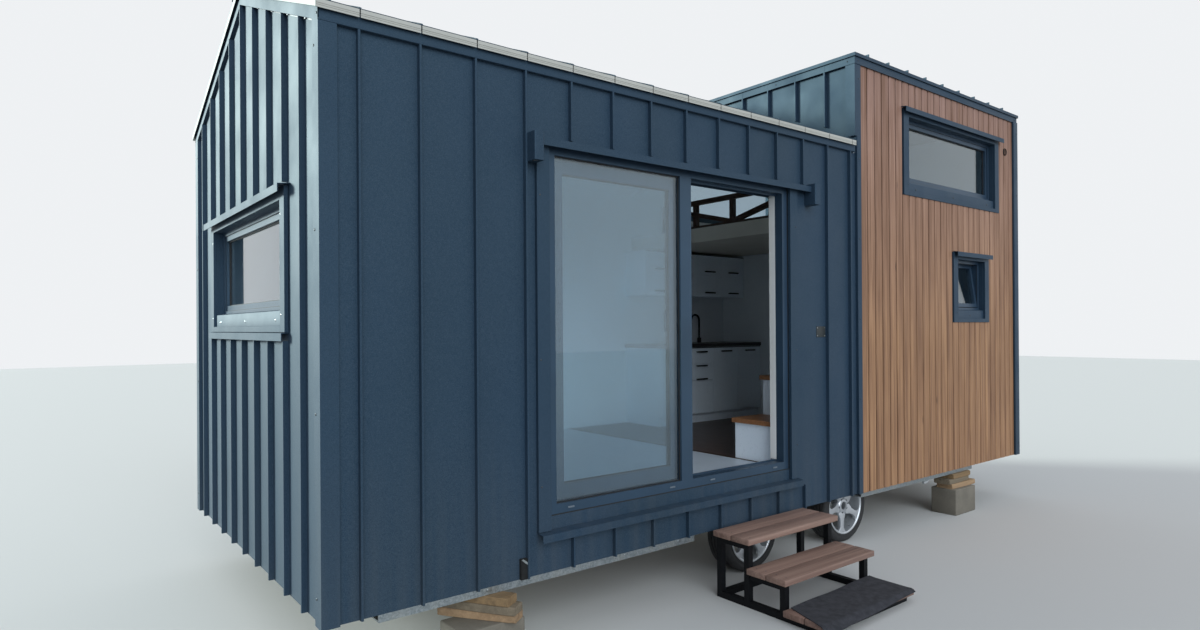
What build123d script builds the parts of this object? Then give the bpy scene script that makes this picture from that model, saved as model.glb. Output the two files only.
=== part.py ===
from build123d import *
from math import radians, sin, tan
import os

# A tiny house on a twin-axle trailer: a low gable-roofed room joined to a taller flat-roofed box.
# The house stands level on its wheels and on four stacks of timber over concrete blocks.
# X runs along the length, the front with the sliding door faces -Y, and Z is up from the ground.
# The origin is the middle of the whole model's outline on the ground.

os.makedirs("parts", exist_ok=True)

# House, in millimetres
length = 7200                 # outside of the cladding, left end to right end
width = 2930                  # outside of the cladding, front to back
low_length = 4260             # gable-roofed part, from the left end
skirt_z = 415                 # lower edge of the cladding
floor_z = 735                 # finished floor
tall_z = 3978                 # top of the flat roof's edge trim
ridge_drop = 127              # low roof's ridge below that top
roof_rise = 584               # low roof's ridge above its eave
wall_thickness = 120          # cladding and core together
cladding_depth = 25           # from the seams' tops to the wall core
floor_finish = 12
deck_thickness = 128

# Standing-seam sheet metal
sheet = 6
seam_width = 12
front_seam_pitch = 306
front_seam_start = 184        # first seam from the left corner
end_seam_pitch = 296
seam_height = 25
trim_sheet = 4
board_thickness = 21          # timber cladding of the tall part

# Roofs
low_roof_thickness = 93
eave_out = 24
verge_out = 20
edge_lip = 42                 # folded edge of the low roof, downward all round
verge_lap = 50                # verge flashing on the roof's face
tall_roof_thickness = 120
edge_trim_height = 78
edge_trim_out = 20
edge_trim_lip = 70
ridge_cap_width = 300

# Corner trims
corner_trim_width = 82
wood_trim_width = 55

# Sliding door
door_x = 1250
door_width = 2145
door_foot_z = floor_z - floor_finish
door_head_drop = 456          # door's head below the eave
door_frame_face = 60
door_frame_depth = 120
door_frame_setback = 28       # outer face of the frame behind the seams' tops
mullion_width = 100
fixed_pane_width = 984
pane_thickness = 24
pane_setback = 20             # fixed pane behind the frame's outer face
sash_depth = 52
sash_face = 80
sash_clearance = 6
sash_overlap = 27             # sash over the mullion when shut
roller_radius = 12
roller_width = 16
handle_height = 180
handle_width = 28
handle_plate = 6
handle_grip = 20
handle_grip_height = 135
handle_grip_depth = 15
handle_out = 45
handle_z = 1020               # above the floor
rail_height = 8
rail_width = 12
running_gap = 0.3
guide_lip = 3
guide_drop = 15
door_sill_z = 650             # sill strip under the door
door_drip_rise = 18           # drip over the door's head
door_drip_overrun = 115       # drip beyond the surround, on the right

# Long windows of the gable and the loft, and the small window
gable_window_width = 1660
long_window_height = 580
gable_window_sill_z = 1875
loft_window_drop = 371        # opening below the top of the edge trim
loft_window_start = 795       # opening to the tall part's left end
loft_window_end = 485         # opening to the right end
small_window_end = 720
small_window_width = 555
small_window_height = 490
small_window_drop = 215       # opening below the loft floor's underside
window_setback = 60
window_depth = 60
window_face = 66
window_outer_face = 30        # fixed part of the frame, round the sash's part
window_step = 8
window_pane = 20
tilt_angle = 8                # the small window's sash, inward at the top
tilt_gap = 4
tilt_seat = 6
surround_width = 80
top_flange = 62
apron_height = 112
drip_fall = 8
drip_out = 45
drip_lip = 42
drip_side = 112               # drip beyond a long window, each side
gable_strip_drop = 45
gable_strip_out = 22
gable_strip_fall = 4

# Wall lamps beside the door
lamp_height = 155
lamp_width = 62
lamp_out = 81
lamp_edge = 8                 # rounded front edges
lamp_drop = 127               # lower ends below the door's head
lamp_hole = 22
lamp_hole_depth = 30

# Trailer
wheel_radius = 292
tyre_width = 192
rim_radius = 227
rim_width = 182
rim_wall = 8
rim_lip = 9
rim_seat = 11                 # bead seat below the lip
tyre_shoulder = 24
spoke_count = 5
spoke_angle = 115
spoke_width = 46
spoke_depth = 26
rim_window_foot = 88          # windows between the spokes, from the wheel's middle
rim_window_edge = 3           # windows inside the barrel
rim_window_corner = 14
hub_radius = 75
hub_depth = 75
hub_dish = 24
bolt_radius = 7
wheel_setback = 136           # rim's outer face behind the front of the cladding
stub_gap = 9                  # axle tube behind the tyre
left_axle_x = 3109
right_axle_x = 4276
beam_height = 220
beam_width = 100
beam_sheet = 8                # the side beams are channels, open inward
left_beam_start = 273
left_beam_end = 2400
right_beam_start = 4328
beam_end_gap = 970            # right beams short of the right end
main_rail_inset = 420
main_rail_width = 60
main_rail_height = 160
tube_wall = 6
cross_member_width = 60
cross_member_height = 90
cross_member_pitch = 650
spindle_radius = 30
axle_tube_radius = 42
saddle_width = 150
bolt_circle_radius = 54

# Supports
support_block_length = 380
support_block_width = 240
plank_thickness = 45
plank_width = 150
stack_left = 587              # stacks' middles from the beams' outer ends
stack_right = 270

# Steps
tread_width = 953
tread_depth = 300
tread_thickness = 37
tread_going = 280
tread_gap = 6
steps_x = 2510
steps_gap = 40
top_tread_z = 440
riser = 181.5
step_tube = 40
step_frame_inset = 30         # front posts behind the treads' edges
step_side_inset = 35          # side frames inside the treads' ends
mat_thickness = 8
mat_overhang = 25
mat_side = 42

# Inside
kitchen_lead = 95             # kitchen's left end before the tall part
kitchen_module = 396
kitchen_modules = 4
kitchen_depth = 574
kitchen_height = 858
worktop_thickness = 38
worktop_overhang = 15
plinth_height = 100
plinth_setback = 50
door_panel = 18
panel_gap = 3
drawer_module = 1             # counted from the left, from nought
drawer_shares = (0, 0.5, 0.75, 1)
tap_lead = 1080               # tap from the kitchen's left end
tap_setback = 80
tap_radius = 11
tap_sides = 8
tap_rise = 260
tap_reach = 130
tap_drop = 40
tap_base_radius = 24
tap_base_height = 55
wall_unit_drop = 20           # wall units' top below the loft floor's underside
splash_height = 527           # worktop to the wall units
wall_unit_depth = 330
partition_thickness = 60
partition_doorway = 890
stair_width = 425
stair_going = 340
stair_riser = 320
stair_top_thickness = 35
stair_nosing = 20
stair_gap = 2                 # boxes behind the door frame
loft_floor_drop = 1218        # loft floor below the top of the edge trim
loft_floor_thickness = 140
guard_height = 280
guard_bar = 45
guard_setback = 5
guard_centre = 1348           # middle post, from the front face
guard_bay = 483

# Sizes that follow from the ones above
steps_reach = steps_gap + 2 * tread_going + tread_depth + mat_overhang
low_ridge_z = tall_z - ridge_drop
low_eave_z = low_ridge_z - roof_rise
left_reach = max(verge_out, drip_out)
back_reach = max(eave_out, drip_out, support_block_width / 2 - cladding_depth - beam_width / 2)
corner_x = (left_reach - length - edge_trim_out) / 2
corner_y = (steps_reach - width - back_reach) / 2
deck_top_z = floor_z - floor_finish
deck_foot_z = deck_top_z - deck_thickness
beam_foot_z = deck_foot_z - beam_height
roof_slope = (low_ridge_z - low_eave_z) / (width / 2 + eave_out)
low_roof_drop = low_roof_thickness * (1 + roof_slope**2) ** 0.5
door_right = door_x + door_width
door_head_z = low_eave_z - door_head_drop
door_drip_z = door_head_z + door_drip_rise
tall_wall_top = tall_z - trim_sheet - tall_roof_thickness
core_back = width - cladding_depth
wall_back = width - wall_thickness
wall_right = length - wall_thickness
loft_floor_z = tall_z - loft_floor_drop
loft_foot = loft_floor_z - loft_floor_thickness
loft_window_x = low_length + loft_window_start
loft_window_width = length - loft_window_end - loft_window_x
loft_window_sill_z = tall_z - loft_window_drop - long_window_height
small_window_x = length - small_window_end - small_window_width
small_window_sill_z = loft_foot - small_window_drop - small_window_height
right_beam_end = length - beam_end_gap
core_right = length - cladding_depth
seam_face = cladding_depth - sheet
board_face = cladding_depth - board_thickness
left_lamp_x = door_x - surround_width - lamp_width
right_lamp_x = door_right + surround_width + door_drip_overrun
lamp_z = door_head_z - lamp_drop

# Drawing planes with their origin at the front left corner of the house, at ground level
corner = Plane(origin=(corner_x, corner_y, 0))
front = Plane(origin=(corner_x, corner_y, 0), x_dir=(1, 0, 0), z_dir=(0, -1, 0))
side = Plane(origin=(corner_x, corner_y, 0), x_dir=(0, 1, 0), z_dir=(1, 0, 0))


def at_depth(y):
    """The drawing plane seen from the front, y behind the front face."""
    return front.offset(-y)


def roof_z(y):
    """Height of the low roof's upper face at a distance y from the front face."""
    return low_ridge_z - abs(width / 2 - y) * roof_slope


def ceiling_z(y):
    """Height of the low roof's lower face at a distance y from the front face."""
    return roof_z(y) - low_roof_drop


def rectangle(u0, u1, v0, v1, mode=Mode.ADD):
    """A rectangle between two corners, in the open sketch."""
    with Locations(((u0 + u1) / 2, (v0 + v1) / 2)):
        Rectangle(u1 - u0, v1 - v0, mode=mode)


def outline(*points, mode=Mode.ADD):
    """A face inside straight edges, in the open sketch."""
    Polygon(*points, align=None, mode=mode)


def block(x0, x1, y0, y1, z0, z1, mode=Mode.ADD):
    """A block between two corners, in an open part on the corner plane."""
    with Locations(((x0 + x1) / 2, (y0 + y1) / 2, (z0 + z1) / 2)):
        Box(x1 - x0, y1 - y0, z1 - z0, mode=mode)


def write(builder, name):
    """Label the finished piece and write its STEP file."""
    builder.part.label = name
    export_step(builder.part, f"parts/{name}.step")


def seam_places(start, pitch, low, high):
    """Middles of the seams between two ends, at one pitch from a start."""
    count = int((high - start - seam_width) // pitch) + 1
    places = [start + n * pitch for n in range(count)]
    return [place for place in places if place > low + seam_width]


front_seams = seam_places(front_seam_start, front_seam_pitch, 0, low_length)
end_seams = [width / 2 + n * end_seam_pitch for n in range(-4, 5)]
end_seams = [y for y in end_seams if corner_trim_width < y < width - corner_trim_width]


# Floor

with BuildPart(corner) as floor_deck:
    block(cladding_depth, core_right, cladding_depth, core_back, deck_foot_z, deck_top_z)
write(floor_deck, "floor_deck")

with BuildPart(corner) as floor_living:
    block(wall_thickness, door_right, wall_thickness, wall_back, deck_top_z, floor_z)
    block(door_x, door_right, wall_thickness, door_frame_setback + door_frame_depth,
          deck_top_z, floor_z, mode=Mode.SUBTRACT)
write(floor_living, "floor_living")

with BuildPart(corner) as floor_kitchen:
    block(door_right, wall_right, wall_thickness, wall_back, deck_top_z, floor_z)
write(floor_kitchen, "floor_kitchen")


# Wall cores of the low part

def front_core(x0, x1, foot):
    """Front wall core with its top cut to the low roof's slope."""
    with BuildPart() as core:
        with BuildSketch(side.offset(x0)):
            outline((cladding_depth, foot), (wall_thickness, foot),
                    (wall_thickness, ceiling_z(wall_thickness)),
                    (cladding_depth, ceiling_z(cladding_depth)))
        extrude(amount=x1 - x0)
    return core


front_wall_left = front_core(wall_thickness, door_x, deck_top_z)
write(front_wall_left, "front_wall_left")

front_wall_over_door = front_core(door_x, door_right, door_head_z)
write(front_wall_over_door, "front_wall_over_door")

front_wall_right = front_core(door_right, low_length, deck_top_z)
write(front_wall_right, "front_wall_right")

with BuildPart() as back_wall:
    with BuildSketch(side.offset(wall_thickness)):
        outline((wall_back, deck_top_z), (core_back, deck_top_z),
                (core_back, ceiling_z(core_back)), (wall_back, ceiling_z(wall_back)))
    extrude(amount=low_length - wall_thickness)
write(back_wall, "back_wall")

gable_window_y = (width - gable_window_width) / 2

with BuildPart() as gable_wall:
    with BuildSketch(side.offset(cladding_depth)):
        outline((cladding_depth, deck_top_z), (core_back, deck_top_z),
                (core_back, ceiling_z(core_back)), (width / 2, ceiling_z(width / 2)),
                (cladding_depth, ceiling_z(cladding_depth)))
        rectangle(gable_window_y, gable_window_y + gable_window_width, gable_window_sill_z,
                  gable_window_sill_z + long_window_height, mode=Mode.SUBTRACT)
    extrude(amount=wall_thickness - cladding_depth)
write(gable_wall, "gable_wall")


# Wall cores of the tall part

def tall_core(y0, windows):
    """Long wall core of the tall part with its windows cut through."""
    with BuildPart() as core:
        with BuildSketch(at_depth(y0 + wall_thickness - cladding_depth)):
            rectangle(low_length, wall_right, deck_top_z, tall_wall_top)
            for x, z, wide, high in windows:
                rectangle(x, x + wide, z, z + high, mode=Mode.SUBTRACT)
        extrude(amount=wall_thickness - cladding_depth)
    return core


loft_opening = (loft_window_x, loft_window_sill_z, loft_window_width, long_window_height)
small_opening = (small_window_x, small_window_sill_z, small_window_width, small_window_height)

tall_front_wall = tall_core(cladding_depth, [loft_opening, small_opening])
write(tall_front_wall, "tall_front_wall")

tall_back_wall = tall_core(wall_back, [loft_opening])
write(tall_back_wall, "tall_back_wall")

with BuildPart(corner) as tall_end_wall:
    block(wall_right, core_right, cladding_depth, core_back, deck_top_z, tall_wall_top)
write(tall_end_wall, "tall_end_wall")

with BuildPart() as step_wall:
    with BuildSketch(side.offset(low_length)):
        outline((wall_thickness, ceiling_z(wall_thickness)), (width / 2, ceiling_z(width / 2)),
                (wall_back, ceiling_z(wall_back)), (wall_back, tall_wall_top),
                (wall_thickness, tall_wall_top))
    extrude(amount=wall_thickness - cladding_depth)
write(step_wall, "step_wall")


# Low roof: two slopes with standing seams, a ridge cap and folded edges

def roof_slope_part(mirrored):
    """One slope of the low roof with its seams, on the front or on the back."""
    def place(y):
        return width - y if mirrored else y
    with BuildPart() as slope:
        with BuildSketch(side):
            outline((place(0), roof_z(0)), (place(width / 2), low_ridge_z),
                    (place(width / 2), ceiling_z(width / 2)), (place(0), ceiling_z(0)))
        extrude(amount=low_length - cladding_depth)
        for x in front_seams:
            with BuildSketch(side.offset(x - seam_width / 2)):
                outline((place(0), roof_z(0)), (place(width / 2), low_ridge_z),
                        (place(width / 2), low_ridge_z + seam_height),
                        (place(seam_height), roof_z(seam_height) + seam_height))
            extrude(amount=seam_width)
    return slope


low_roof_front = roof_slope_part(False)
write(low_roof_front, "low_roof_front")

low_roof_back = roof_slope_part(True)
write(low_roof_back, "low_roof_back")

cap_z = low_ridge_z + seam_height
with BuildPart() as ridge_cap:
    with BuildSketch(side.offset(-verge_out)):
        outline((width / 2, cap_z), (width / 2 + ridge_cap_width / 2,
                                     cap_z - ridge_cap_width / 2 * roof_slope),
                (width / 2 + ridge_cap_width / 2,
                 cap_z - ridge_cap_width / 2 * roof_slope + trim_sheet),
                (width / 2, cap_z + trim_sheet),
                (width / 2 - ridge_cap_width / 2,
                 cap_z - ridge_cap_width / 2 * roof_slope + trim_sheet),
                (width / 2 - ridge_cap_width / 2, cap_z - ridge_cap_width / 2 * roof_slope))
    extrude(amount=low_length + verge_out - cladding_depth)
write(ridge_cap, "ridge_cap")


# Flat roof with seams across it, inside a folded edge trim

tall_roof_top = tall_wall_top + tall_roof_thickness

with BuildPart(corner) as tall_roof:
    block(low_length, core_right, cladding_depth, core_back, tall_wall_top, tall_roof_top)
    seam_x = low_length + front_seam_pitch / 2
    while seam_x < length - edge_trim_lip:
        block(seam_x - seam_width / 2, seam_x + seam_width / 2, edge_trim_lip,
              width - edge_trim_lip, tall_roof_top, tall_z)
        block(seam_x - seam_width / 2, seam_x + seam_width / 2, -edge_trim_out,
              width + edge_trim_out, tall_z, tall_z + seam_height - trim_sheet)
        seam_x += front_seam_pitch
write(tall_roof, "tall_roof")


# Trailer: side beams broken at the wheels, main rails, and cross members between them

rail_foot_z = deck_foot_z - main_rail_height
rail_places = (main_rail_inset, width - main_rail_inset - main_rail_width)

with BuildPart() as trailer_beams:
    for x0, x1 in ((left_beam_start, left_beam_end), (right_beam_start, right_beam_end)):
        with BuildSketch(side.offset(x0)):
            for web, inward in ((cladding_depth, 1), (width - cladding_depth, -1)):
                tip = web + inward * beam_width
                inner = web + inward * beam_sheet
                outline((web, beam_foot_z), (tip, beam_foot_z), (tip, beam_foot_z + beam_sheet),
                        (inner, beam_foot_z + beam_sheet), (inner, deck_foot_z - beam_sheet),
                        (tip, deck_foot_z - beam_sheet), (tip, deck_foot_z), (web, deck_foot_z))
        extrude(amount=x1 - x0)
    with BuildSketch(side.offset(left_beam_start)):
        for y0 in rail_places:
            rectangle(y0, y0 + main_rail_width, rail_foot_z, deck_foot_z)
            rectangle(y0 + tube_wall, y0 + main_rail_width - tube_wall, rail_foot_z + tube_wall,
                      deck_foot_z - tube_wall, mode=Mode.SUBTRACT)
    extrude(amount=wall_right - left_beam_start)
write(trailer_beams, "trailer_beams")

beam_tip = cladding_depth + beam_width
outer_spans = ((beam_tip, main_rail_inset), (width - main_rail_inset, width - beam_tip))
middle_span = (main_rail_inset + main_rail_width, width - main_rail_inset - main_rail_width)
member_count = int((right_beam_end - cross_member_width - left_beam_start) // cross_member_pitch)

with BuildPart(corner) as cross_members:
    for n in range(member_count + 1):
        member_x = left_beam_start + n * cross_member_pitch
        between_beams = left_beam_end - cross_member_width < member_x < right_beam_start
        spans = (middle_span,) if between_beams else (middle_span, *outer_spans)
        for y0, y1 in spans:
            block(member_x, member_x + cross_member_width, y0, y1,
                  deck_foot_z - cross_member_height, deck_foot_z)
write(cross_members, "cross_members")


# Trailer axles, with a spindle into each hub, under a saddle on each main rail

spindle_end_gap = 1
axle_y0 = wheel_setback + hub_dish + spindle_end_gap
stub_y = wheel_setback + (rim_width + tyre_width) / 2 + stub_gap

with BuildPart(corner) as axles:
    for axle_x in (left_axle_x, right_axle_x):
        with BuildSketch(at_depth(axle_y0)):
            with Locations((axle_x, wheel_radius)):
                Circle(spindle_radius)
        extrude(amount=-(width - 2 * axle_y0))
        with BuildSketch(at_depth(stub_y)):
            with Locations((axle_x, wheel_radius)):
                Circle(axle_tube_radius)
        extrude(amount=-(width - 2 * stub_y))
        for y0 in rail_places:
            with BuildSketch(at_depth(y0)):
                rectangle(axle_x - saddle_width / 2, axle_x + saddle_width / 2, wheel_radius,
                          rail_foot_z)
                with Locations((axle_x, wheel_radius)):
                    Circle(axle_tube_radius + running_gap, mode=Mode.SUBTRACT)
            extrude(amount=-main_rail_width)
write(axles, "axles")


# Wheels: a five-spoke rim and a tyre on each spindle

seat_radius = rim_radius - rim_seat
barrel_radius = seat_radius - rim_wall
bore_radius = spindle_radius + running_gap
tyre_seat_gap = 1


def hub_plane(axle_x, outward):
    """Plane on the rim's outer face, its normal pointing away from the house."""
    y = wheel_setback if outward < 0 else width - wheel_setback
    return Plane(origin=(corner_x + axle_x, corner_y + y, wheel_radius),
                 x_dir=(1, 0, 0), z_dir=(0, outward, 0))


def profile_plane(hub):
    """Plane through the wheel's axis: first axis radial, second along the axis outward."""
    return Plane(origin=hub.origin, x_dir=hub.x_dir, z_dir=-hub.y_dir)


half_turn = 180 / spoke_count
window_side = spoke_width / 2 / sin(radians(half_turn))

with BuildSketch() as window:
    Circle(barrel_radius - rim_window_edge)
    Circle(rim_window_foot, mode=Mode.SUBTRACT)
    wedge_far = 2 * barrel_radius
    outline((window_side, 0),
            (window_side + wedge_far, wedge_far * tan(radians(half_turn))),
            (window_side + wedge_far, -wedge_far * tan(radians(half_turn))),
            mode=Mode.INTERSECT)
    fillet(window.vertices(), rim_window_corner)


def rim(axle_x, outward):
    """A wheel rim: barrel, five spokes between rounded windows, hub with a blind bore."""
    hub = hub_plane(axle_x, outward)
    profile = profile_plane(hub)
    axis = Axis(hub.origin, hub.z_dir)
    with BuildPart() as wheel:
        with BuildSketch(profile):
            outline((rim_radius, 0), (rim_radius, -rim_lip), (seat_radius, -rim_lip),
                    (seat_radius, rim_lip - rim_width), (rim_radius, rim_lip - rim_width),
                    (rim_radius, -rim_width), (barrel_radius, -rim_width),
                    (barrel_radius, 0))
            outline((0, -hub_dish / 2), (hub_radius / 2, -hub_dish / 2),
                    (hub_radius, -hub_dish), (hub_radius, -hub_dish - hub_depth),
                    (bore_radius, -hub_dish - hub_depth), (bore_radius, -hub_dish),
                    (0, -hub_dish))
        revolve(axis=axis)
        with BuildSketch(hub.offset(-hub_dish - spoke_depth)):
            Circle(barrel_radius + rim_wall / 2)
            Circle((bore_radius + hub_radius) / 2, mode=Mode.SUBTRACT)
            with PolarLocations(0, spoke_count, start_angle=spoke_angle + half_turn):
                add(window.sketch, mode=Mode.SUBTRACT)
        extrude(amount=spoke_depth)
        with BuildSketch(hub):
            with PolarLocations(bolt_circle_radius, spoke_count, start_angle=spoke_angle):
                Circle(bolt_radius)
        extrude(amount=-hub_dish - spoke_depth / 2, mode=Mode.SUBTRACT)
    return wheel


def tyre(axle_x, outward):
    """A tyre seated between the rim's lips."""
    hub = hub_plane(axle_x, outward)
    bulge = (tyre_width - rim_width) / 2
    bead = seat_radius + tyre_seat_gap
    lip = rim_radius + tyre_seat_gap
    side_profile = [(bead, -rim_lip), (lip, -rim_lip), (lip, -bulge / 2),
                    (rim_radius + tyre_shoulder, bulge), (wheel_radius, -tyre_shoulder)]
    with BuildPart() as ring:
        with BuildSketch(profile_plane(hub)):
            outline(*side_profile, *[(r, -rim_width - depth) for r, depth in side_profile[::-1]])
        revolve(axis=Axis(hub.origin, hub.z_dir))
    return ring


for end, axle_x in (("left", left_axle_x), ("right", right_axle_x)):
    for face, outward in (("front", -1), ("back", 1)):
        write(rim(axle_x, outward), f"rim_{face}_{end}")
        write(tyre(axle_x, outward), f"tyre_{face}_{end}")


# Supports under the side beams: concrete blocks with three planks on each

block_height = beam_foot_z - 3 * plank_thickness - 3 * running_gap
stack_y_front = cladding_depth + beam_width / 2
stack_places = (left_beam_start + stack_left, right_beam_end - stack_right)
stacks = [(stack_x, stack_y) for stack_x in stack_places
          for stack_y in (stack_y_front, width - stack_y_front)]
plank_shifts = ((430, 40), (380, -25), (330, 15))

with BuildPart(corner) as support_blocks:
    for stack_x, stack_y in stacks:
        block(stack_x - support_block_length / 2, stack_x + support_block_length / 2,
              stack_y - support_block_width / 2, stack_y + support_block_width / 2,
              0, block_height)
write(support_blocks, "support_blocks")

with BuildPart(corner) as support_planks:
    for stack_x, stack_y in stacks:
        for n, (plank_length, shift) in enumerate(plank_shifts):
            foot = block_height + running_gap / 2 + n * (plank_thickness + running_gap)
            block(stack_x + shift - plank_length / 2, stack_x + shift + plank_length / 2,
                  stack_y - plank_width / 2 - shift / 5, stack_y + plank_width / 2 - shift / 5,
                  foot, foot + plank_thickness)
write(support_planks, "support_planks")


# Cladding: sheet with standing seams

def seams_on(places, low, high, clear):
    """Places and spans of the seams, broken where a surround covers them."""
    spans = []
    for place in places:
        top = high(place)
        blocked = [(z0, z1) for u0, u1, z0, z1 in clear if u0 < place < u1]
        foot = low
        for z0, z1 in sorted(blocked):
            spans.append((place, foot, z0))
            foot = z1
        spans.append((place, foot, top))
    return [(place, z0, z1) for place, z0, z1 in spans if z1 - z0 > seam_width]


def surround_zone(u, z, wide, high):
    """The part of a wall that a window's surround and drip cover."""
    return (u - drip_side, u + wide + drip_side,
            z - apron_height - gable_strip_drop, z + high + surround_width)


soffit_z = ceiling_z(0)
tall_clad_top = tall_z - trim_sheet
door_zone = (door_x - surround_width, right_lamp_x, door_sill_z - drip_lip - 2 * drip_fall,
             door_drip_z + drip_fall)
gable_zone = surround_zone(gable_window_y, gable_window_sill_z, gable_window_width,
                           long_window_height)

with BuildPart() as front_cladding:
    with BuildSketch(at_depth(cladding_depth)):
        rectangle(seam_face, low_length, skirt_z, soffit_z)
        rectangle(door_x, door_right, door_sill_z, door_head_z, mode=Mode.SUBTRACT)
    extrude(amount=sheet)
    with BuildSketch(at_depth(seam_face)):
        for x, z0, z1 in seams_on(front_seams, skirt_z, lambda x: soffit_z, [door_zone]):
            rectangle(x - seam_width / 2, x + seam_width / 2, z0, z1)
    extrude(amount=seam_face)
write(front_cladding, "front_cladding")

def seam_head(y):
    """Top of a seam under the sloping verge board."""
    return ceiling_z(y) - seam_width / 2 * roof_slope


with BuildPart() as gable_cladding:
    with BuildSketch(side.offset(seam_face)):
        outline((cladding_depth, skirt_z), (core_back, skirt_z), (core_back, soffit_z),
                (width / 2, ceiling_z(width / 2)), (cladding_depth, soffit_z))
        rectangle(gable_window_y, gable_window_y + gable_window_width, gable_window_sill_z,
                  gable_window_sill_z + long_window_height, mode=Mode.SUBTRACT)
    extrude(amount=sheet)
    with BuildSketch(side):
        for y, z0, z1 in seams_on(end_seams, skirt_z, seam_head, [gable_zone]):
            rectangle(y - seam_width / 2, y + seam_width / 2, z0, z1)
    extrude(amount=seam_face)
write(gable_cladding, "gable_cladding")

with BuildPart() as back_cladding:
    with BuildSketch(at_depth(width - seam_face)):
        rectangle(seam_face, low_length, skirt_z, soffit_z)
    extrude(amount=sheet)
    with BuildSketch(at_depth(width)):
        for x in front_seams:
            rectangle(x - seam_width / 2, x + seam_width / 2, skirt_z, soffit_z)
    extrude(amount=seam_face)
write(back_cladding, "back_cladding")

with BuildPart() as end_cladding:
    with BuildSketch(side.offset(core_right)):
        rectangle(cladding_depth, core_back, skirt_z, tall_clad_top)
    extrude(amount=sheet)
    with BuildSketch(side.offset(core_right + sheet)):
        for y in end_seams:
            rectangle(y - seam_width / 2, y + seam_width / 2, skirt_z, tall_clad_top)
    extrude(amount=seam_face)
write(end_cladding, "end_cladding")

with BuildPart() as step_cladding:
    with BuildSketch(side.offset(low_length - sheet)):
        outline((0, roof_z(0)), (width / 2, low_ridge_z + seam_height + trim_sheet),
                (width, roof_z(0)), (width, tall_clad_top), (0, tall_clad_top))
    extrude(amount=sheet)
    with BuildSketch(side.offset(low_length - cladding_depth)):
        for y in end_seams:
            rectangle(y - seam_width / 2, y + seam_width / 2,
                      roof_z(y) + 2 * seam_height, tall_clad_top)
    extrude(amount=seam_face)
write(step_cladding, "step_cladding")


def tall_boards(y0, windows):
    """Timber cladding of a long side of the tall part, between its corner trims."""
    with BuildPart() as boards:
        with BuildSketch(at_depth(y0)):
            rectangle(low_length + wood_trim_width, length - wood_trim_width, skirt_z,
                      tall_clad_top)
            for x, z, wide, high in windows:
                rectangle(x, x + wide, z, z + high, mode=Mode.SUBTRACT)
        extrude(amount=board_thickness)
    return boards


tall_front_boards = tall_boards(cladding_depth, [loft_opening, small_opening])
write(tall_front_boards, "tall_front_boards")

tall_back_boards = tall_boards(width - board_face, [loft_opening])
write(tall_back_boards, "tall_back_boards")


# Sliding door: outer frame with a mullion, a fixed pane, and a sash on a rail

frame_y0 = door_frame_setback
frame_y1 = frame_y0 + door_frame_depth
pane_y = frame_y0 + pane_setback
sash_y = frame_y0 + door_frame_depth - sash_clearance - guide_lip - sash_depth
mullion_x = door_x + door_frame_face + fixed_pane_width
opening_right = door_right - door_frame_face
frame_foot = door_foot_z + door_frame_face
frame_head = door_head_z - door_frame_face

with BuildPart(corner) as door_frame:
    with BuildSketch(at_depth(frame_y1)):
        rectangle(door_x, door_right, door_foot_z, door_head_z)
        rectangle(door_x + door_frame_face, opening_right, frame_foot, frame_head,
                  mode=Mode.SUBTRACT)
    extrude(amount=door_frame_depth)
    block(mullion_x, mullion_x + mullion_width, frame_y0, sash_y - sash_clearance - guide_lip,
          frame_foot, frame_head)
    rail_y = sash_y + sash_depth / 2
    block(door_x + door_frame_face, opening_right, rail_y - rail_width / 2,
          rail_y + rail_width / 2, frame_foot, frame_foot + rail_height)
    for lip_y in (sash_y - sash_clearance - guide_lip, sash_y + sash_depth + sash_clearance):
        block(door_x + door_frame_face, opening_right, lip_y, lip_y + guide_lip,
              frame_head - guide_drop, frame_head)
write(door_frame, "door_frame")

with BuildPart(corner) as door_fixed_pane:
    block(door_x + door_frame_face, mullion_x, pane_y, pane_y + pane_thickness,
          frame_foot, frame_head)
write(door_fixed_pane, "door_fixed_pane")

sash_x = door_x + door_frame_face + sash_clearance
sash_width = mullion_x + sash_overlap - sash_x
sash_foot = frame_foot + rail_height + running_gap + sash_clearance
sash_head = frame_head - sash_clearance

with BuildPart(corner) as sash_frame:
    with BuildSketch(at_depth(sash_y + sash_depth)):
        rectangle(sash_x, sash_x + sash_width, sash_foot, sash_head)
        rectangle(sash_x + sash_face, sash_x + sash_width - sash_face,
                  sash_foot + sash_face, sash_head - sash_face, mode=Mode.SUBTRACT)
    extrude(amount=sash_depth)
    for roller_x in (sash_x + sash_face, sash_x + sash_width - sash_face):
        with BuildSketch(at_depth(rail_y + roller_width / 2)):
            with Locations((roller_x, sash_foot - sash_clearance + roller_radius)):
                Circle(roller_radius)
        extrude(amount=roller_width)
    handle_x = sash_x + sash_width - sash_face / 2
    handle_y = sash_y + sash_depth
    grip_foot = floor_z + handle_z - handle_grip / 2
    block(handle_x - handle_width / 2, handle_x + handle_width / 2, handle_y,
          handle_y + handle_plate, floor_z + handle_z - handle_height / 2,
          floor_z + handle_z + handle_height / 2)
    block(handle_x - handle_grip / 2, handle_x + handle_grip / 2, handle_y,
          handle_y + handle_out, grip_foot, grip_foot + handle_grip)
    block(handle_x - handle_grip / 2, handle_x + handle_grip / 2,
          handle_y + handle_out - handle_grip_depth, handle_y + handle_out,
          grip_foot, grip_foot + handle_grip_height)
write(sash_frame, "sash_frame")

pane_offset = (sash_depth - pane_thickness) / 2
with BuildPart(corner) as sash_pane:
    block(sash_x + sash_face, sash_x + sash_width - sash_face, sash_y + pane_offset,
          sash_y + pane_offset + pane_thickness, sash_foot + sash_face, sash_head - sash_face)
write(sash_pane, "sash_pane")


# Windows: each has a two-step frame, a pane, a folded surround and a drip over it

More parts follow.
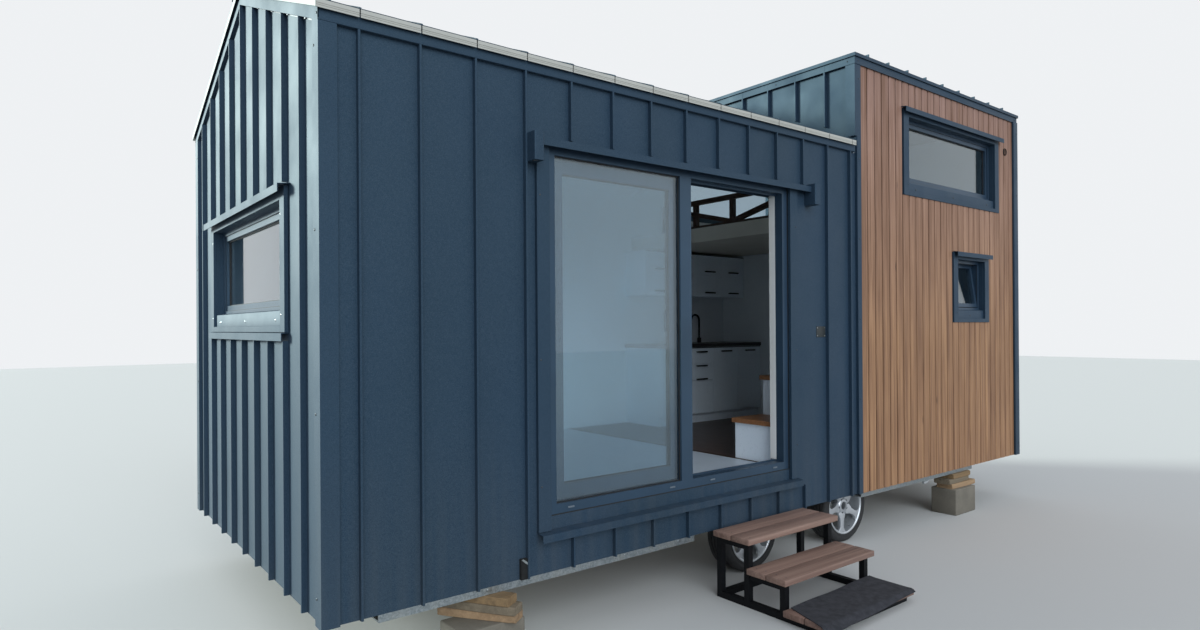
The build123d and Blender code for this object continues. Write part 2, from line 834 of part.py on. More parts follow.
gable_face = Plane(origin=(corner_x, corner_y + width, 0), x_dir=(0, -1, 0), z_dir=(-1, 0, 0))
back_face = Plane(origin=(corner_x + length, corner_y + width, 0), x_dir=(-1, 0, 0),
                  z_dir=(0, 1, 0))

gable_opening = (gable_window_y, gable_window_sill_z, gable_window_width, long_window_height)
loft_back_opening = (length - loft_window_x - loft_window_width, loft_window_sill_z,
                     loft_window_width, long_window_height)
long_windows = [(gable_face, gable_opening), (front, loft_opening),
                (back_face, loft_back_opening)]
openings = [(gable_face, gable_opening, seam_face, drip_side),
            (front, loft_opening, board_face, drip_side),
            (back_face, loft_back_opening, board_face, drip_side),
            (front, small_opening, board_face, surround_width)]


def inset(opening, amount):
    """Corners of an opening, moved inward by an amount, as the rectangle function takes them."""
    u, z, wide, high = opening
    return u + amount, u + wide - amount, z + amount, z + high - amount


# The small window's sash stands tilted inward about its bottom edge
tilt_x0, tilt_x1, _, tilt_head = inset(small_opening, window_outer_face + tilt_gap)
tilt_foot = small_window_sill_z + window_outer_face + running_gap
tilt_height = tilt_head - tilt_foot
tilt_rail = window_face - window_outer_face
tilt_origin = front.offset(tilt_seat - window_setback - window_depth).from_local_coords(
    (0, tilt_foot, 0))
tilt_face = Plane(origin=tilt_origin, x_dir=(1, 0, 0),
                  z_dir=(0, -1, 0)).rotated((-tilt_angle, 0, 0))

with BuildPart() as window_frames:
    for face, opening in long_windows:
        with BuildSketch(face.offset(-window_setback - window_depth)):
            rectangle(*inset(opening, 0))
            rectangle(*inset(opening, window_outer_face), mode=Mode.SUBTRACT)
        extrude(amount=window_depth)
        with BuildSketch(face.offset(-window_setback - window_depth)):
            rectangle(*inset(opening, window_outer_face))
            rectangle(*inset(opening, window_face), mode=Mode.SUBTRACT)
        extrude(amount=window_depth - window_step)
    with BuildSketch(front.offset(-window_setback - window_depth)):
        rectangle(*inset(small_opening, 0))
        rectangle(*inset(small_opening, window_outer_face), mode=Mode.SUBTRACT)
    extrude(amount=window_depth)
    with BuildSketch(tilt_face):
        rectangle(tilt_x0, tilt_x1, 0, tilt_height)
        rectangle(tilt_x0 + tilt_rail, tilt_x1 - tilt_rail, tilt_rail, tilt_height - tilt_rail,
                  mode=Mode.SUBTRACT)
    extrude(amount=window_depth - window_step)
write(window_frames, "window_frames")

with BuildPart() as window_panes:
    for face, opening in long_windows:
        with BuildSketch(face.offset(window_step - window_setback - window_depth)):
            rectangle(*inset(opening, window_face))
        extrude(amount=window_pane)
    with BuildSketch(tilt_face.offset(window_step)):
        rectangle(tilt_x0 + tilt_rail, tilt_x1 - tilt_rail, tilt_rail, tilt_height - tilt_rail)
    extrude(amount=window_pane)
write(window_panes, "window_panes")

with BuildPart() as opening_surrounds:
    for face, opening, seat, _ in openings:
        u, z, wide, high = opening
        with BuildSketch(face.offset(-seat)):
            rectangle(u - surround_width, u + wide + surround_width, z - apron_height,
                      z + high + top_flange)
            rectangle(*inset(opening, trim_sheet), mode=Mode.SUBTRACT)
        extrude(amount=seat + trim_sheet)
        with BuildSketch(face.offset(-window_setback)):
            rectangle(*inset(opening, 0))
            rectangle(*inset(opening, trim_sheet), mode=Mode.SUBTRACT)
        extrude(amount=window_setback)
    door_opening = (door_x, door_foot_z, door_width, door_head_z - door_foot_z)
    with BuildSketch(front.offset(-seam_face)):
        rectangle(door_x - surround_width, door_right + surround_width, door_sill_z,
                  door_drip_z - drip_lip / 4)
        rectangle(door_x + trim_sheet, door_right - trim_sheet, door_sill_z,
                  door_head_z - trim_sheet, mode=Mode.SUBTRACT)
    extrude(amount=seam_face + trim_sheet)
write(opening_surrounds, "opening_surrounds")


# Folded flashings: drips over the openings and sills under them

def end_of(face, u):
    """Plane across a strip's far end: first axis out of the wall, second up."""
    return Plane(origin=face.from_local_coords((u, 0, 0)), x_dir=face.z_dir,
                 z_dir=-face.x_dir)


def folded(points, thickness):
    """Outline of a folded sheet: its fold points, then the same line on its lower side."""
    line = [Vector(*point) for point in points]
    runs = [(b - a).normalized() for a, b in zip(line, line[1:])]
    normals = [Vector(run.Y, -run.X) for run in runs]
    start_drop = thickness / runs[0].X if runs[0].X > 0 else 0
    start = Vector(0, -start_drop) if start_drop else normals[0] * thickness
    inner = [line[0] + start]
    for before, after, point in zip(normals, normals[1:], line[1:-1]):
        inner.append(point + (before + after) * (thickness / (1 + before.dot(after))))
    inner.append(line[-1] + normals[-1] * thickness)
    return [(p.X, p.Y) for p in line + inner[::-1]]


strips = []
for face, opening, seat, side_run in openings:
    u, z, wide, high = opening
    top = z + high + top_flange + drip_fall
    strips.append((face, u - side_run, u + wide + side_run, [
        (-seat, top), (drip_out, top - drip_fall), (drip_out, top - drip_fall - drip_lip)]))
gable_strip_z = gable_window_sill_z - apron_height
strips.append((gable_face, gable_window_y - surround_width,
               gable_window_y + gable_window_width + surround_width, [
                   (-seam_face, gable_strip_z), (gable_strip_out, gable_strip_z - gable_strip_fall),
                   (gable_strip_out, gable_strip_z - gable_strip_drop)]))
strips.append((front, left_lamp_x + lamp_width + running_gap, right_lamp_x, [
    (-seam_face, door_drip_z), (drip_out, door_drip_z - drip_fall),
    (drip_out, door_drip_z - drip_fall - drip_lip)]))
strips.append((front, door_x - surround_width, door_right + surround_width, [
    (-seam_face, door_sill_z), (drip_out, door_sill_z - drip_fall),
    (drip_out, door_sill_z - drip_fall - drip_lip)]))
strips.append((front, door_x + trim_sheet, door_right - trim_sheet, [
    (trim_sheet - cladding_depth, door_foot_z), (trim_sheet - cladding_depth, door_sill_z)]))

with BuildPart() as flashings:
    for face, u0, u1, points in strips:
        with BuildSketch(end_of(face, u1)):
            outline(*folded(points, trim_sheet))
        extrude(amount=u1 - u0)
write(flashings, "flashings")


# Folded trims at the wall corners and along the roofs' edges

step_trim_foot = roof_z(corner_trim_width) + trim_sheet
low_trim_x1 = low_length - cladding_depth - 2 * trim_sheet


def roof_band(y_out, top, foot):
    """Outline of a band along both slopes, from a top to a foot below the roof's face."""
    line = ((-y_out, roof_z(-y_out)), (width / 2, low_ridge_z), (width + y_out, roof_z(-y_out)))
    return [(y, z - top) for y, z in line] + [(y, z - foot) for y, z in line[::-1]]


with BuildPart(corner) as corner_trims:
    for y0, y1, y2, y3 in ((-trim_sheet, 0, seam_face, corner_trim_width),
                           (width + trim_sheet, width, width - seam_face,
                            width - corner_trim_width)):
        block(0, corner_trim_width, min(y0, y2), max(y0, y2), skirt_z, soffit_z)
        with BuildSketch(side.offset(-trim_sheet)):
            outline((y0, skirt_z), (y3, skirt_z), (y3, ceiling_z(y3)), (y0, ceiling_z(y0)))
        extrude(amount=seam_face + trim_sheet)
        block(low_length, low_length + wood_trim_width, min(y0, y2), max(y0, y2),
              skirt_z, tall_clad_top)
        block(low_length - cladding_depth - trim_sheet, low_length, min(y0, y1), max(y0, y1),
              step_trim_foot, tall_clad_top)
        block(low_length - cladding_depth - trim_sheet, low_length - sheet, min(y0, y3),
              max(y0, y3), step_trim_foot, tall_clad_top)
        block(length - wood_trim_width, length + trim_sheet, min(y0, y2), max(y0, y2),
              skirt_z, tall_clad_top)
        block(core_right + sheet, length + trim_sheet, min(y0, y3), max(y0, y3),
              skirt_z, tall_clad_top)
write(corner_trims, "corner_trims")

with BuildPart() as low_roof_trims:
    for y_out, top, foot, x_out, amount in (
            (trim_sheet, 0, low_roof_drop, trim_sheet, trim_sheet),
            (eave_out, 0, edge_lip, verge_out, trim_sheet),
            (eave_out, 0, trim_sheet, verge_out, verge_out),
            (eave_out, -trim_sheet, 0, verge_out, verge_out + verge_lap)):
        with BuildSketch(side.offset(-x_out)):
            outline(*roof_band(y_out, top, foot))
        extrude(amount=amount)
    fascia = [(0, soffit_z), (0, roof_z(0)), (-trim_sheet, roof_z(-trim_sheet)),
              (-trim_sheet, soffit_z)]
    drip = [(0, roof_z(0)), (-eave_out, low_eave_z), (-eave_out, low_eave_z - edge_lip),
            (trim_sheet - eave_out, low_eave_z - edge_lip),
            (trim_sheet - eave_out, roof_z(trim_sheet - eave_out) - trim_sheet),
            (0, roof_z(0) - trim_sheet)]
    for x_out, profile in ((trim_sheet, fascia), (verge_out, drip)):
        with BuildSketch(side.offset(-x_out)):
            outline(*profile)
            outline(*[(width - y, z) for y, z in profile])
        extrude(amount=low_trim_x1 + x_out)
write(low_roof_trims, "low_roof_trims")

with BuildPart(corner) as roof_edge_trim:
    with BuildSketch(corner.offset(tall_z - trim_sheet)):
        rectangle(low_length - cladding_depth - edge_trim_out, length + edge_trim_out,
                  -edge_trim_out, width + edge_trim_out)
        rectangle(low_length + edge_trim_lip, length - edge_trim_lip, edge_trim_lip,
                  width - edge_trim_lip, mode=Mode.SUBTRACT)
    extrude(amount=trim_sheet)
    with BuildSketch(corner.offset(tall_z - edge_trim_height)):
        rectangle(low_length - cladding_depth - edge_trim_out, length + edge_trim_out,
                  -edge_trim_out, width + edge_trim_out)
        rectangle(low_length - cladding_depth - edge_trim_out + trim_sheet,
                  length + edge_trim_out - trim_sheet, trim_sheet - edge_trim_out,
                  width + edge_trim_out - trim_sheet, mode=Mode.SUBTRACT)
    extrude(amount=edge_trim_height - trim_sheet)
write(roof_edge_trim, "roof_edge_trim")


# Up-and-down wall lamps at the ends of the door's drip

with BuildPart(corner) as wall_lamps:
    for x0 in (left_lamp_x, right_lamp_x):
        block(x0, x0 + lamp_width, -lamp_out, seam_face, lamp_z, lamp_z + lamp_height)
    fillet(wall_lamps.edges().filter_by(Axis.Z).group_by(Axis.Y)[0], lamp_edge)
    for x0 in (left_lamp_x, right_lamp_x):
        for z0 in (lamp_z, lamp_z + lamp_height - lamp_hole_depth):
            with BuildSketch(corner.offset(z0)):
                with Locations((x0 + lamp_width / 2, -lamp_out / 2)):
                    Circle(lamp_hole)
            extrude(amount=lamp_hole_depth, mode=Mode.SUBTRACT)
write(wall_lamps, "wall_lamps")


# Steps: three treads of two boards on a square-tube frame

step_x1 = steps_x + tread_width
tread_tops = [top_tread_z - n * riser for n in range(3)]
tread_backs = [-steps_gap - n * tread_going for n in range(3)]
step_front = tread_backs[2] - tread_depth + step_frame_inset

with BuildPart(corner) as step_frame:
    for x0 in (steps_x + step_side_inset, step_x1 - step_side_inset - step_tube):
        block(x0, x0 + step_tube, step_front, tread_backs[0], 0, step_tube)
        for n in range(2):
            under = tread_tops[n] - tread_thickness
            front_post = tread_backs[n] - tread_depth + step_frame_inset
            block(x0, x0 + step_tube, front_post, front_post + step_tube, step_tube, under)
            block(x0, x0 + step_tube, front_post, tread_backs[n], under - step_tube, under)
        block(x0, x0 + step_tube, -steps_gap - step_tube, -steps_gap, step_tube,
              tread_tops[0] - tread_thickness)
    for y0 in (-steps_gap - step_tube, step_front):
        block(steps_x + step_side_inset, step_x1 - step_side_inset, y0, y0 + step_tube,
              0, step_tube)
write(step_frame, "step_frame")

board_width = (tread_depth - tread_gap) / 2
with BuildPart(corner) as treads:
    for top, back in zip(tread_tops, tread_backs):
        for y0 in (back - board_width, back - tread_depth):
            block(steps_x, step_x1, y0, y0 + board_width, top - tread_thickness, top)
write(treads, "treads")

with BuildPart(corner) as step_mat:
    mat_foot = tread_tops[2] + running_gap
    front_edge = tread_backs[2] - tread_depth
    block(steps_x + mat_side, step_x1 - mat_side / 3, front_edge - mat_overhang,
          tread_backs[2] - mat_side / 2, mat_foot, mat_foot + mat_thickness)
write(step_mat, "step_mat")


# Inside: kitchen, partition, storage steps, loft floor and its guard

kitchen_x = low_length - kitchen_lead
kitchen_end = kitchen_x + kitchen_module * kitchen_modules
kitchen_front = wall_back - kitchen_depth
kitchen_top = floor_z + kitchen_height
unit_foot = floor_z + plinth_height
unit_top = kitchen_top - worktop_thickness

with BuildPart(corner) as kitchen_units:
    block(kitchen_x, kitchen_end, kitchen_front + plinth_setback, wall_back, floor_z, unit_foot)
    block(kitchen_x, kitchen_end, kitchen_front + door_panel, wall_back, unit_foot, unit_top)
    for n in range(kitchen_modules):
        x0 = kitchen_x + n * kitchen_module + panel_gap / 2
        x1 = x0 + kitchen_module - panel_gap
        rows = drawer_shares if n == drawer_module else (0, 1)
        for low, high in zip(rows, rows[1:]):
            block(x0, x1, kitchen_front, kitchen_front + door_panel,
                  unit_foot + low * (unit_top - unit_foot) + panel_gap / 2,
                  unit_foot + high * (unit_top - unit_foot) - panel_gap / 2)
write(kitchen_units, "kitchen_units")

with BuildPart(corner) as worktop:
    block(kitchen_x - worktop_overhang, kitchen_end, kitchen_front - worktop_overhang,
          wall_back, unit_top, kitchen_top)
write(worktop, "worktop")

wall_unit_y = wall_back - wall_unit_depth
wall_unit_z = kitchen_top + splash_height
wall_unit_height = loft_foot - wall_unit_drop - wall_unit_z
with BuildPart(corner) as wall_units:
    block(kitchen_x, kitchen_end, wall_unit_y + door_panel, wall_back, wall_unit_z,
          wall_unit_z + wall_unit_height)
    for n in range(kitchen_modules):
        x0 = kitchen_x + n * kitchen_module + panel_gap / 2
        x1 = x0 + kitchen_module - panel_gap
        for low in (0, wall_unit_height / 2):
            block(x0, x1, wall_unit_y, wall_unit_y + door_panel, wall_unit_z + low + panel_gap / 2,
                  wall_unit_z + low + wall_unit_height / 2 - panel_gap / 2)
write(wall_units, "wall_units")

tap_origin = corner.from_local_coords((kitchen_x + tap_lead, wall_back - tap_setback,
                                       kitchen_top))

with BuildPart() as tap:
    with BuildLine() as spout:
        riser_line = Line(tap_origin, tap_origin + Vector(0, 0, tap_rise))
        bow = TangentArc(riser_line @ 1, riser_line @ 1 - Vector(tap_reach, 0, 0),
                         tangent=(0, 0, 1))
        Line(bow @ 1, bow @ 1 - Vector(0, 0, tap_drop))
    with BuildSketch(Plane(origin=tap_origin)):
        RegularPolygon(tap_radius, tap_sides)
    sweep(path=spout.line)
    with BuildSketch(Plane(origin=tap_origin)):
        Circle(tap_base_radius)
    extrude(amount=tap_base_height)
write(tap, "tap")

with BuildPart(corner) as partition:
    block(kitchen_end, kitchen_end + partition_thickness, wall_thickness + partition_doorway,
          wall_back, floor_z, loft_foot)
write(partition, "partition")

stair_x = door_right
stair_y = frame_y1 + stair_gap
with BuildPart(corner) as stair_boxes:
    for n in range(2):
        block(stair_x + n * stair_going, stair_x + (n + 1) * stair_going, stair_y,
              wall_thickness + stair_width, floor_z,
              floor_z + (n + 1) * stair_riser - stair_top_thickness)
write(stair_boxes, "stair_boxes")

with BuildPart(corner) as stair_tops:
    for n in range(2):
        top = floor_z + (n + 1) * stair_riser
        block(stair_x + n * stair_going - stair_nosing, stair_x + (n + 1) * stair_going, stair_y,
              wall_thickness + stair_width + stair_nosing, top - stair_top_thickness, top)
write(stair_tops, "stair_tops")

with BuildPart(corner) as loft_floor:
    block(low_length, wall_right, wall_thickness, wall_back, loft_foot, loft_floor_z)
write(loft_floor, "loft_floor")

guard_x = low_length + guard_setback
guard_foot = loft_floor_z
guard_top = loft_floor_z + guard_height
guard_y0 = guard_centre - 2 * guard_bay - guard_bar / 2
guard_y1 = guard_centre + 2 * guard_bay + guard_bar / 2

with BuildPart() as loft_guard:
    with BuildSketch(side.offset(guard_x)):
        rectangle(guard_y0, guard_y1, guard_top - guard_bar, guard_top)
        rectangle(guard_y0, guard_y1, guard_foot, guard_foot + guard_bar / 2)
        for n in range(-2, 3):
            y = guard_centre + n * guard_bay
            rectangle(y - guard_bar / 2, y + guard_bar / 2, guard_foot, guard_top)
        for way in (-1, 1):
            outline((guard_centre, guard_foot), (guard_centre, guard_foot + guard_bar),
                    (guard_centre + way * 2 * guard_bay, guard_top),
                    (guard_centre + way * 2 * guard_bay, guard_top - guard_bar))
    extrude(amount=guard_bar)
write(loft_guard, "loft_guard")
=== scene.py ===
import math
import random

import bmesh
import bpy
from mathutils import Matrix, Vector, noise


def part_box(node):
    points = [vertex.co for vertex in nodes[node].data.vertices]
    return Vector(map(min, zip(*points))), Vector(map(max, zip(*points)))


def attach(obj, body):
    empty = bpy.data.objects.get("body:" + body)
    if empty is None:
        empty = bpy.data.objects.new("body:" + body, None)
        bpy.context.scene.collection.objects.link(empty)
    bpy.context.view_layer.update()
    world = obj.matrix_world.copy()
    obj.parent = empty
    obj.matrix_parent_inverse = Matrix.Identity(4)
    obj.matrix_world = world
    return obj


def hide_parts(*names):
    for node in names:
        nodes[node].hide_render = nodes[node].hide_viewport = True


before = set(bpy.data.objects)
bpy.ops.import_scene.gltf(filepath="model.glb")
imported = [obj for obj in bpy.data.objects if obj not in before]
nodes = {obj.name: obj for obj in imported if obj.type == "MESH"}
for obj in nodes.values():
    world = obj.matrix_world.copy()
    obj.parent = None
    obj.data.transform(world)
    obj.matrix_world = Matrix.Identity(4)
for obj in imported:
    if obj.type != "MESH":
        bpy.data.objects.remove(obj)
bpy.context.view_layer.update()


# Where the house stands, read from the frame, in metres

def low(node):
    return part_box(node)[0]


def high(node):
    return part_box(node)[1]


left_x = low("gable_cladding").x
right_x = high("end_cladding").x
front_y = low("front_cladding").y
back_y = high("back_cladding").y
skirt_z = low("front_cladding").z
joint_x = low("loft_floor").x          # the low part ends and the tall part starts here
floor_z = high("floor_living").z
soffit_z = high("front_cladding").z
tall_z = high("roof_edge_trim").z
trim_sheet = 0.004
middle_y = (front_y + back_y) / 2

long_window = (1.66, 0.58)             # width and height of the openings of the long windows
small_window = (0.555, 0.49)
loft_window_x = right_x - 0.485 - long_window[0]
loft_window_z = tall_z - 0.371 - long_window[1]
small_window_x = right_x - 0.72 - small_window[0]
small_window_z = 1.915
gable_window_z = 1.875
gable_window_y = middle_y - long_window[0] / 2
apron_height = 0.112
surround_width = 0.08


# Materials

def linear(code):
    """A colour written as six hex digits, as Blender's shaders take it."""
    shares = [int(code[n:n + 2], 16) / 255 for n in (1, 3, 5)]
    return tuple(s / 12.92 if s <= 0.04045 else ((s + 0.055) / 1.055) ** 2.4 for s in shares)


def add_node(tree, kind, inputs, output=0, **settings):
    """Adds a node, sets or links its inputs, and returns one of its outputs."""
    made = tree.nodes.new(kind)
    for key, value in settings.items():
        setattr(made, key, value)
    for key, value in inputs.items():
        if isinstance(value, str):
            value = (*linear(value), 1)
        if isinstance(value, bpy.types.NodeSocket):
            tree.links.new(value, made.inputs[key])
        else:
            made.inputs[key].default_value = value
    return made.outputs[output]


class Finish:
    """A material with one Principled shader, and the nodes that vary it."""

    def __init__(self, name, colour, roughness, metallic=0.0, extra=()):
        self.material = bpy.data.materials.new(name)
        self.material.use_nodes = True
        self.tree = self.material.node_tree
        self.shader = self.tree.nodes["Principled BSDF"]
        self.where = self.tree.nodes.new("ShaderNodeTexCoord").outputs["Object"]
        values = {"Base Color": (*linear(colour), 1), "Roughness": roughness,
                  "Metallic": metallic, **dict(extra)}
        for socket, value in values.items():
            self.shader.inputs[socket].default_value = value

    def node(self, kind, inputs, output=0, **settings):
        return add_node(self.tree, kind, inputs, output, **settings)

    def noise(self, scale, stretch=(1, 1, 1), detail=3.0):
        where = self.node("ShaderNodeMapping", {"Vector": self.where, "Scale": stretch})
        return self.node("ShaderNodeTexNoise", {"Vector": where, "Scale": scale,
                                                "Detail": detail})

    def math(self, operation, first, second):
        return self.node("ShaderNodeMath", {0: first, 1: second}, operation=operation)

    def span(self, value, low_in, high_in, low_out=0.0, high_out=1.0):
        return self.node("ShaderNodeMapRange", {
            "Value": value, "From Min": low_in, "From Max": high_in, "To Min": low_out,
            "To Max": high_out})

    def mix(self, share, first, second):
        """A blend of two colours, each given as hex digits or as a socket."""
        return self.node("ShaderNodeMix", {0: share, 6: first, 7: second}, 2,
                         data_type="RGBA")

    def colour(self, value):
        self.tree.links.new(value, self.shader.inputs["Base Color"])

    def rough(self, value, *spans):
        """A roughness that follows a value; the spans are those of span()."""
        self.tree.links.new(self.span(value, *spans), self.shader.inputs["Roughness"])

    def bump(self, height, distance, strength):
        """Adds a bump on top of those already there."""
        normal = self.shader.inputs["Normal"]
        inputs = {"Height": height, "Distance": distance, "Strength": strength}
        if normal.is_linked:
            inputs["Normal"] = normal.links[0].from_socket
        self.tree.links.new(self.node("ShaderNodeBump", inputs), normal)

    def height_share(self, foot, top):
        """0 at one height and 1 at another, in the part's own coordinates."""
        height = self.node("ShaderNodeSeparateXYZ", {"Vector": self.where}, "Z")
        return self.span(height, foot, top)


def coated_metal(name, colour, pale, roughness, dust, grain="#7f8c99", mottle=0.16):
    """Painted sheet metal: fine grained coat, faint waves in the sheet, dust near the ground."""
    # The blue specular tint paints the sky's colour into the coat's reflections.
    finish = Finish(name, colour, roughness, extra={
        "Specular IOR Level": 0.42, "Specular Tint": (0.55, 0.84, 1.0, 1)})
    speckle = finish.noise(420, detail=2)
    shade = finish.mix(finish.span(finish.noise(0.9, (1, 1, 0.35), 4), 0.3, 0.7), colour, pale)
    shade = finish.mix(finish.span(speckle, 0.35, 0.75, 0, 0.18), shade, grain)
    shade = finish.mix(finish.span(finish.noise(130), 0.4, 0.6, mottle, 0.0), shade, "#0a1622")
    streaks = finish.noise(5, (3, 3, 0.12), 5)
    foot = finish.math("SUBTRACT", 1.0, finish.height_share(skirt_z, skirt_z + 0.9))
    dirt = finish.math("MULTIPLY", foot, finish.span(streaks, 0.35, 0.75, 0, dust))
    finish.colour(finish.mix(dirt, shade, "#8c8678"))
    finish.rough(finish.noise(3), 0.3, 0.7, roughness - 0.06, roughness + 0.1)
    finish.bump(finish.noise(1.5, (1, 1, 0.5), 1), 0.006, 0.35)
    finish.bump(speckle, 0.0006, 0.25)
    return finish.material


def timber(name, dark, light, grain_axis, roughness=0.55, pitch=0.0, start=0.0, knots=0.6,
           contrast=1.0, top_tone=None):
    """Wood with soft streaks and fibres along an axis, few knots, and a shade for each board."""
    finish = Finish(name, light, roughness)
    where = finish.where
    own = None
    if pitch:
        across = finish.node("ShaderNodeSeparateXYZ", {"Vector": where},
                             "X" if grain_axis != 0 else "Y")
        index = finish.math("FLOOR", finish.math("DIVIDE", finish.math(
            "SUBTRACT", across, start), pitch), 0.0)
        own = finish.node("ShaderNodeTexWhiteNoise", {"W": index}, "Value",
                          noise_dimensions="1D")
        shift = finish.node("ShaderNodeCombineXYZ", {
            axis: finish.math("MULTIPLY", own, reach)
            for axis, reach in (("X", 7.0), ("Y", 3.0), ("Z", 11.0))})
        where = finish.node("ShaderNodeVectorMath", {0: where, 1: shift}, operation="ADD")

    def stretched(over, along):
        scale = [over, over, over]
        scale[grain_axis] = along
        return finish.node("ShaderNodeVectorMath", {0: where, 1: scale}, operation="MULTIPLY")

    def grain(over, along, detail, distortion):
        return finish.node("ShaderNodeTexNoise", {
            "Vector": stretched(over, along), "Scale": 1.0, "Detail": detail,
            "Distortion": distortion})

    streaks = grain(38.0, 0.9, 4, 0.5)
    fibres = grain(260.0, 5.0, 3, 0.1)
    clouds = grain(5.0, 1.3, 2, 0.0)
    share = finish.math("MULTIPLY", streaks, 0.55)
    for part, weight in ((fibres, 0.2), (clouds, 0.25)):
        share = finish.math("ADD", share, finish.math("MULTIPLY", part, weight))
    spread = 0.22 / contrast
    if top_tone:
        light = finish.mix(finish.height_share(skirt_z + 1.2, tall_z), light, top_tone)
    shade = finish.mix(finish.span(share, 0.5 - spread, 0.5 + spread), dark, light)
    if own is not None:
        shade = finish.mix(finish.span(own, 0, 1, 0.0, 0.3), shade, dark)
    if knots:
        cells = finish.node("ShaderNodeTexVoronoi", {"Vector": stretched(6.0, 1.7),
                                                     "Scale": 1.0}, "Distance")
        tone = finish.node("ShaderNodeRGBToBW", {"Color": cells.node.outputs["Color"]})
        knot = finish.math("MULTIPLY", finish.span(tone, 0.52, 0.54),
                           finish.span(cells, 0.03, 0.09, knots, 0))
        shade = finish.mix(knot, shade, "#3a2216")
    finish.colour(shade)
    finish.rough(fibres, 0.2, 0.8, roughness + 0.1, roughness - 0.08)
    finish.bump(fibres, 0.0009, 0.45)
    finish.bump(streaks, 0.0012, 0.3)
    return finish.material


def speckled(name, colour, second, scale, roughness, depth, share=0.5):
    """A finish with two mingled shades and a fine bump, such as concrete, felt or rubber."""
    finish = Finish(name, colour, roughness)
    coarse = finish.noise(scale * 0.12, detail=4)
    fine = finish.noise(scale, detail=5)
    mingled = finish.math("ADD", finish.math("MULTIPLY", coarse, 0.6),
                          finish.math("MULTIPLY", fine, 0.4))
    finish.colour(finish.mix(finish.span(mingled, 0.38, 0.62, 0, share), colour, second))
    finish.rough(fine, 0.3, 0.7, roughness - 0.07, roughness + 0.09)
    finish.bump(fine, depth, 0.6)
    return finish.material


def plain(name, colour, second, roughness, metallic=0.0, scale=60, depth=0.0003, extra=()):
    """A smooth moulded or lacquered finish with a faint cloud and a fine bump."""
    finish = Finish(name, colour, roughness, metallic, extra)
    finish.colour(finish.mix(finish.span(finish.noise(2.5), 0.3, 0.7), colour, second))
    finish.rough(finish.noise(scale), 0.3, 0.7, roughness - 0.05, roughness + 0.07)
    finish.bump(finish.noise(scale * 8), depth, 0.35)
    return finish.material


def zinc(name):
    """Hot-dip galvanised steel with its crystal pattern and white bloom."""
    finish = Finish(name, "#9aa2a6", 0.45, 0.75)
    crystals = finish.node("ShaderNodeTexVoronoi", {"Vector": finish.where, "Scale": 120},
                           "Color")
    grey = finish.node("ShaderNodeRGBToBW", {"Color": crystals})
    bloom = finish.noise(9, (1, 1, 0.5), 5)
    shade = finish.mix(finish.span(grey, 0.2, 0.8), "#7a8286", "#959c9f")
    finish.colour(finish.mix(finish.span(bloom, 0.45, 0.7, 0, 0.5), shade, "#9fa09a"))
    finish.rough(grey, 0, 1, 0.36, 0.58)
    finish.bump(bloom, 0.0008, 0.3)
    return finish.material


def window_glass(name, colour, gloss):
    """Clear double glazing: it lets lamps through, and shows the room and its own gloss."""
    finish = Finish(name, colour, 0.02, extra={
        "Transmission Weight": 1.0, "IOR": 1.5, "Specular IOR Level": 1.0,
        "Specular Tint": (0.5, 0.85, 1.0, 1), "Coat Weight": gloss, "Coat IOR": 1.9,
        "Coat Roughness": 0.02})
    finish.rough(finish.noise(2.2, (1, 1, 0.4), 4), 0.3, 0.75, 0.01, 0.05)
    finish.bump(finish.noise(0.9, detail=1), 0.002, 0.12)
    rays = finish.tree.nodes.new("ShaderNodeLightPath").outputs
    lit = finish.math("MAXIMUM", rays["Is Shadow Ray"], rays["Is Diffuse Ray"])
    clear = finish.node("ShaderNodeBsdfTransparent", {"Color": (0.86, 0.9, 0.9, 1)})
    mixed = finish.node("ShaderNodeMixShader", {0: lit, 1: finish.shader.outputs[0], 2: clear})
    finish.tree.links.new(mixed, finish.tree.nodes["Material Output"].inputs["Surface"])
    return finish.material


dark_metal = coated_metal("dark_metal", "#102638", "#162d43", 0.54, 0.08)
roof_metal = coated_metal("roof_metal", "#202f3e", "#2a3b4b", 0.5, 0.0)
loft_cream = plain("loft_cream", "#cfc7b9", "#d9d3c6", 0.55)
# The white of the inner walls is tinted blue: painted bluish shade light.
inner_white = plain("inner_white", "#d2d7dc", "#dadfe3", 0.6, scale=25, depth=0.0006)
unit_white = plain("unit_white", "#e6f0fa", "#ebf3fb", 0.3)
# The blue specular tint paints the sky's colour into the frames' reflections.
frame_dark = plain("frame_dark", "#283849", "#2e4053", 0.35, scale=90, depth=0.0005,
                   extra={"Specular Tint": (0.6, 0.86, 1.0, 1)})
frame_white = plain("frame_white", "#e8e8e6", "#dededb", 0.32)
black_seal = plain("black_seal", "#101214", "#16181a", 0.6)
black_paint = plain("black_paint", "#08090c", "#0d0f13", 0.5, scale=70, depth=0.0006,
                    extra={"Specular IOR Level": 0.15})
bright_steel = plain("bright_steel", "#b9bdbf", "#a6abad", 0.25, 1.0)
dark_steel = plain("dark_steel", "#3b3f43", "#4a4f53", 0.4, 0.8)
rubber = speckled("rubber", "#1d1e20", "#313030", 300, 0.75, 0.0006)
alloy = plain("alloy", "#c9cdd1", "#babfc4", 0.32, 0.75, 40, 0.0002)
back_coat = coated_metal("back_coat", "#aeaca4", "#bdbbb2", 0.5, 0.0, "#8f8d86", 0.0)
galvanised = zinc("galvanised")
concrete = speckled("concrete", "#6b665c", "#857e72", 60, 0.85, 0.004)
felt = speckled("felt", "#202228", "#3f3f46", 190, 0.95, 0.004, share=0.7)
cedar = timber("cedar", "#6f4c35", "#b98d66", 2, 0.6, 0.109, joint_x + 0.055, 0.75, 1.4,
               "#a58379")
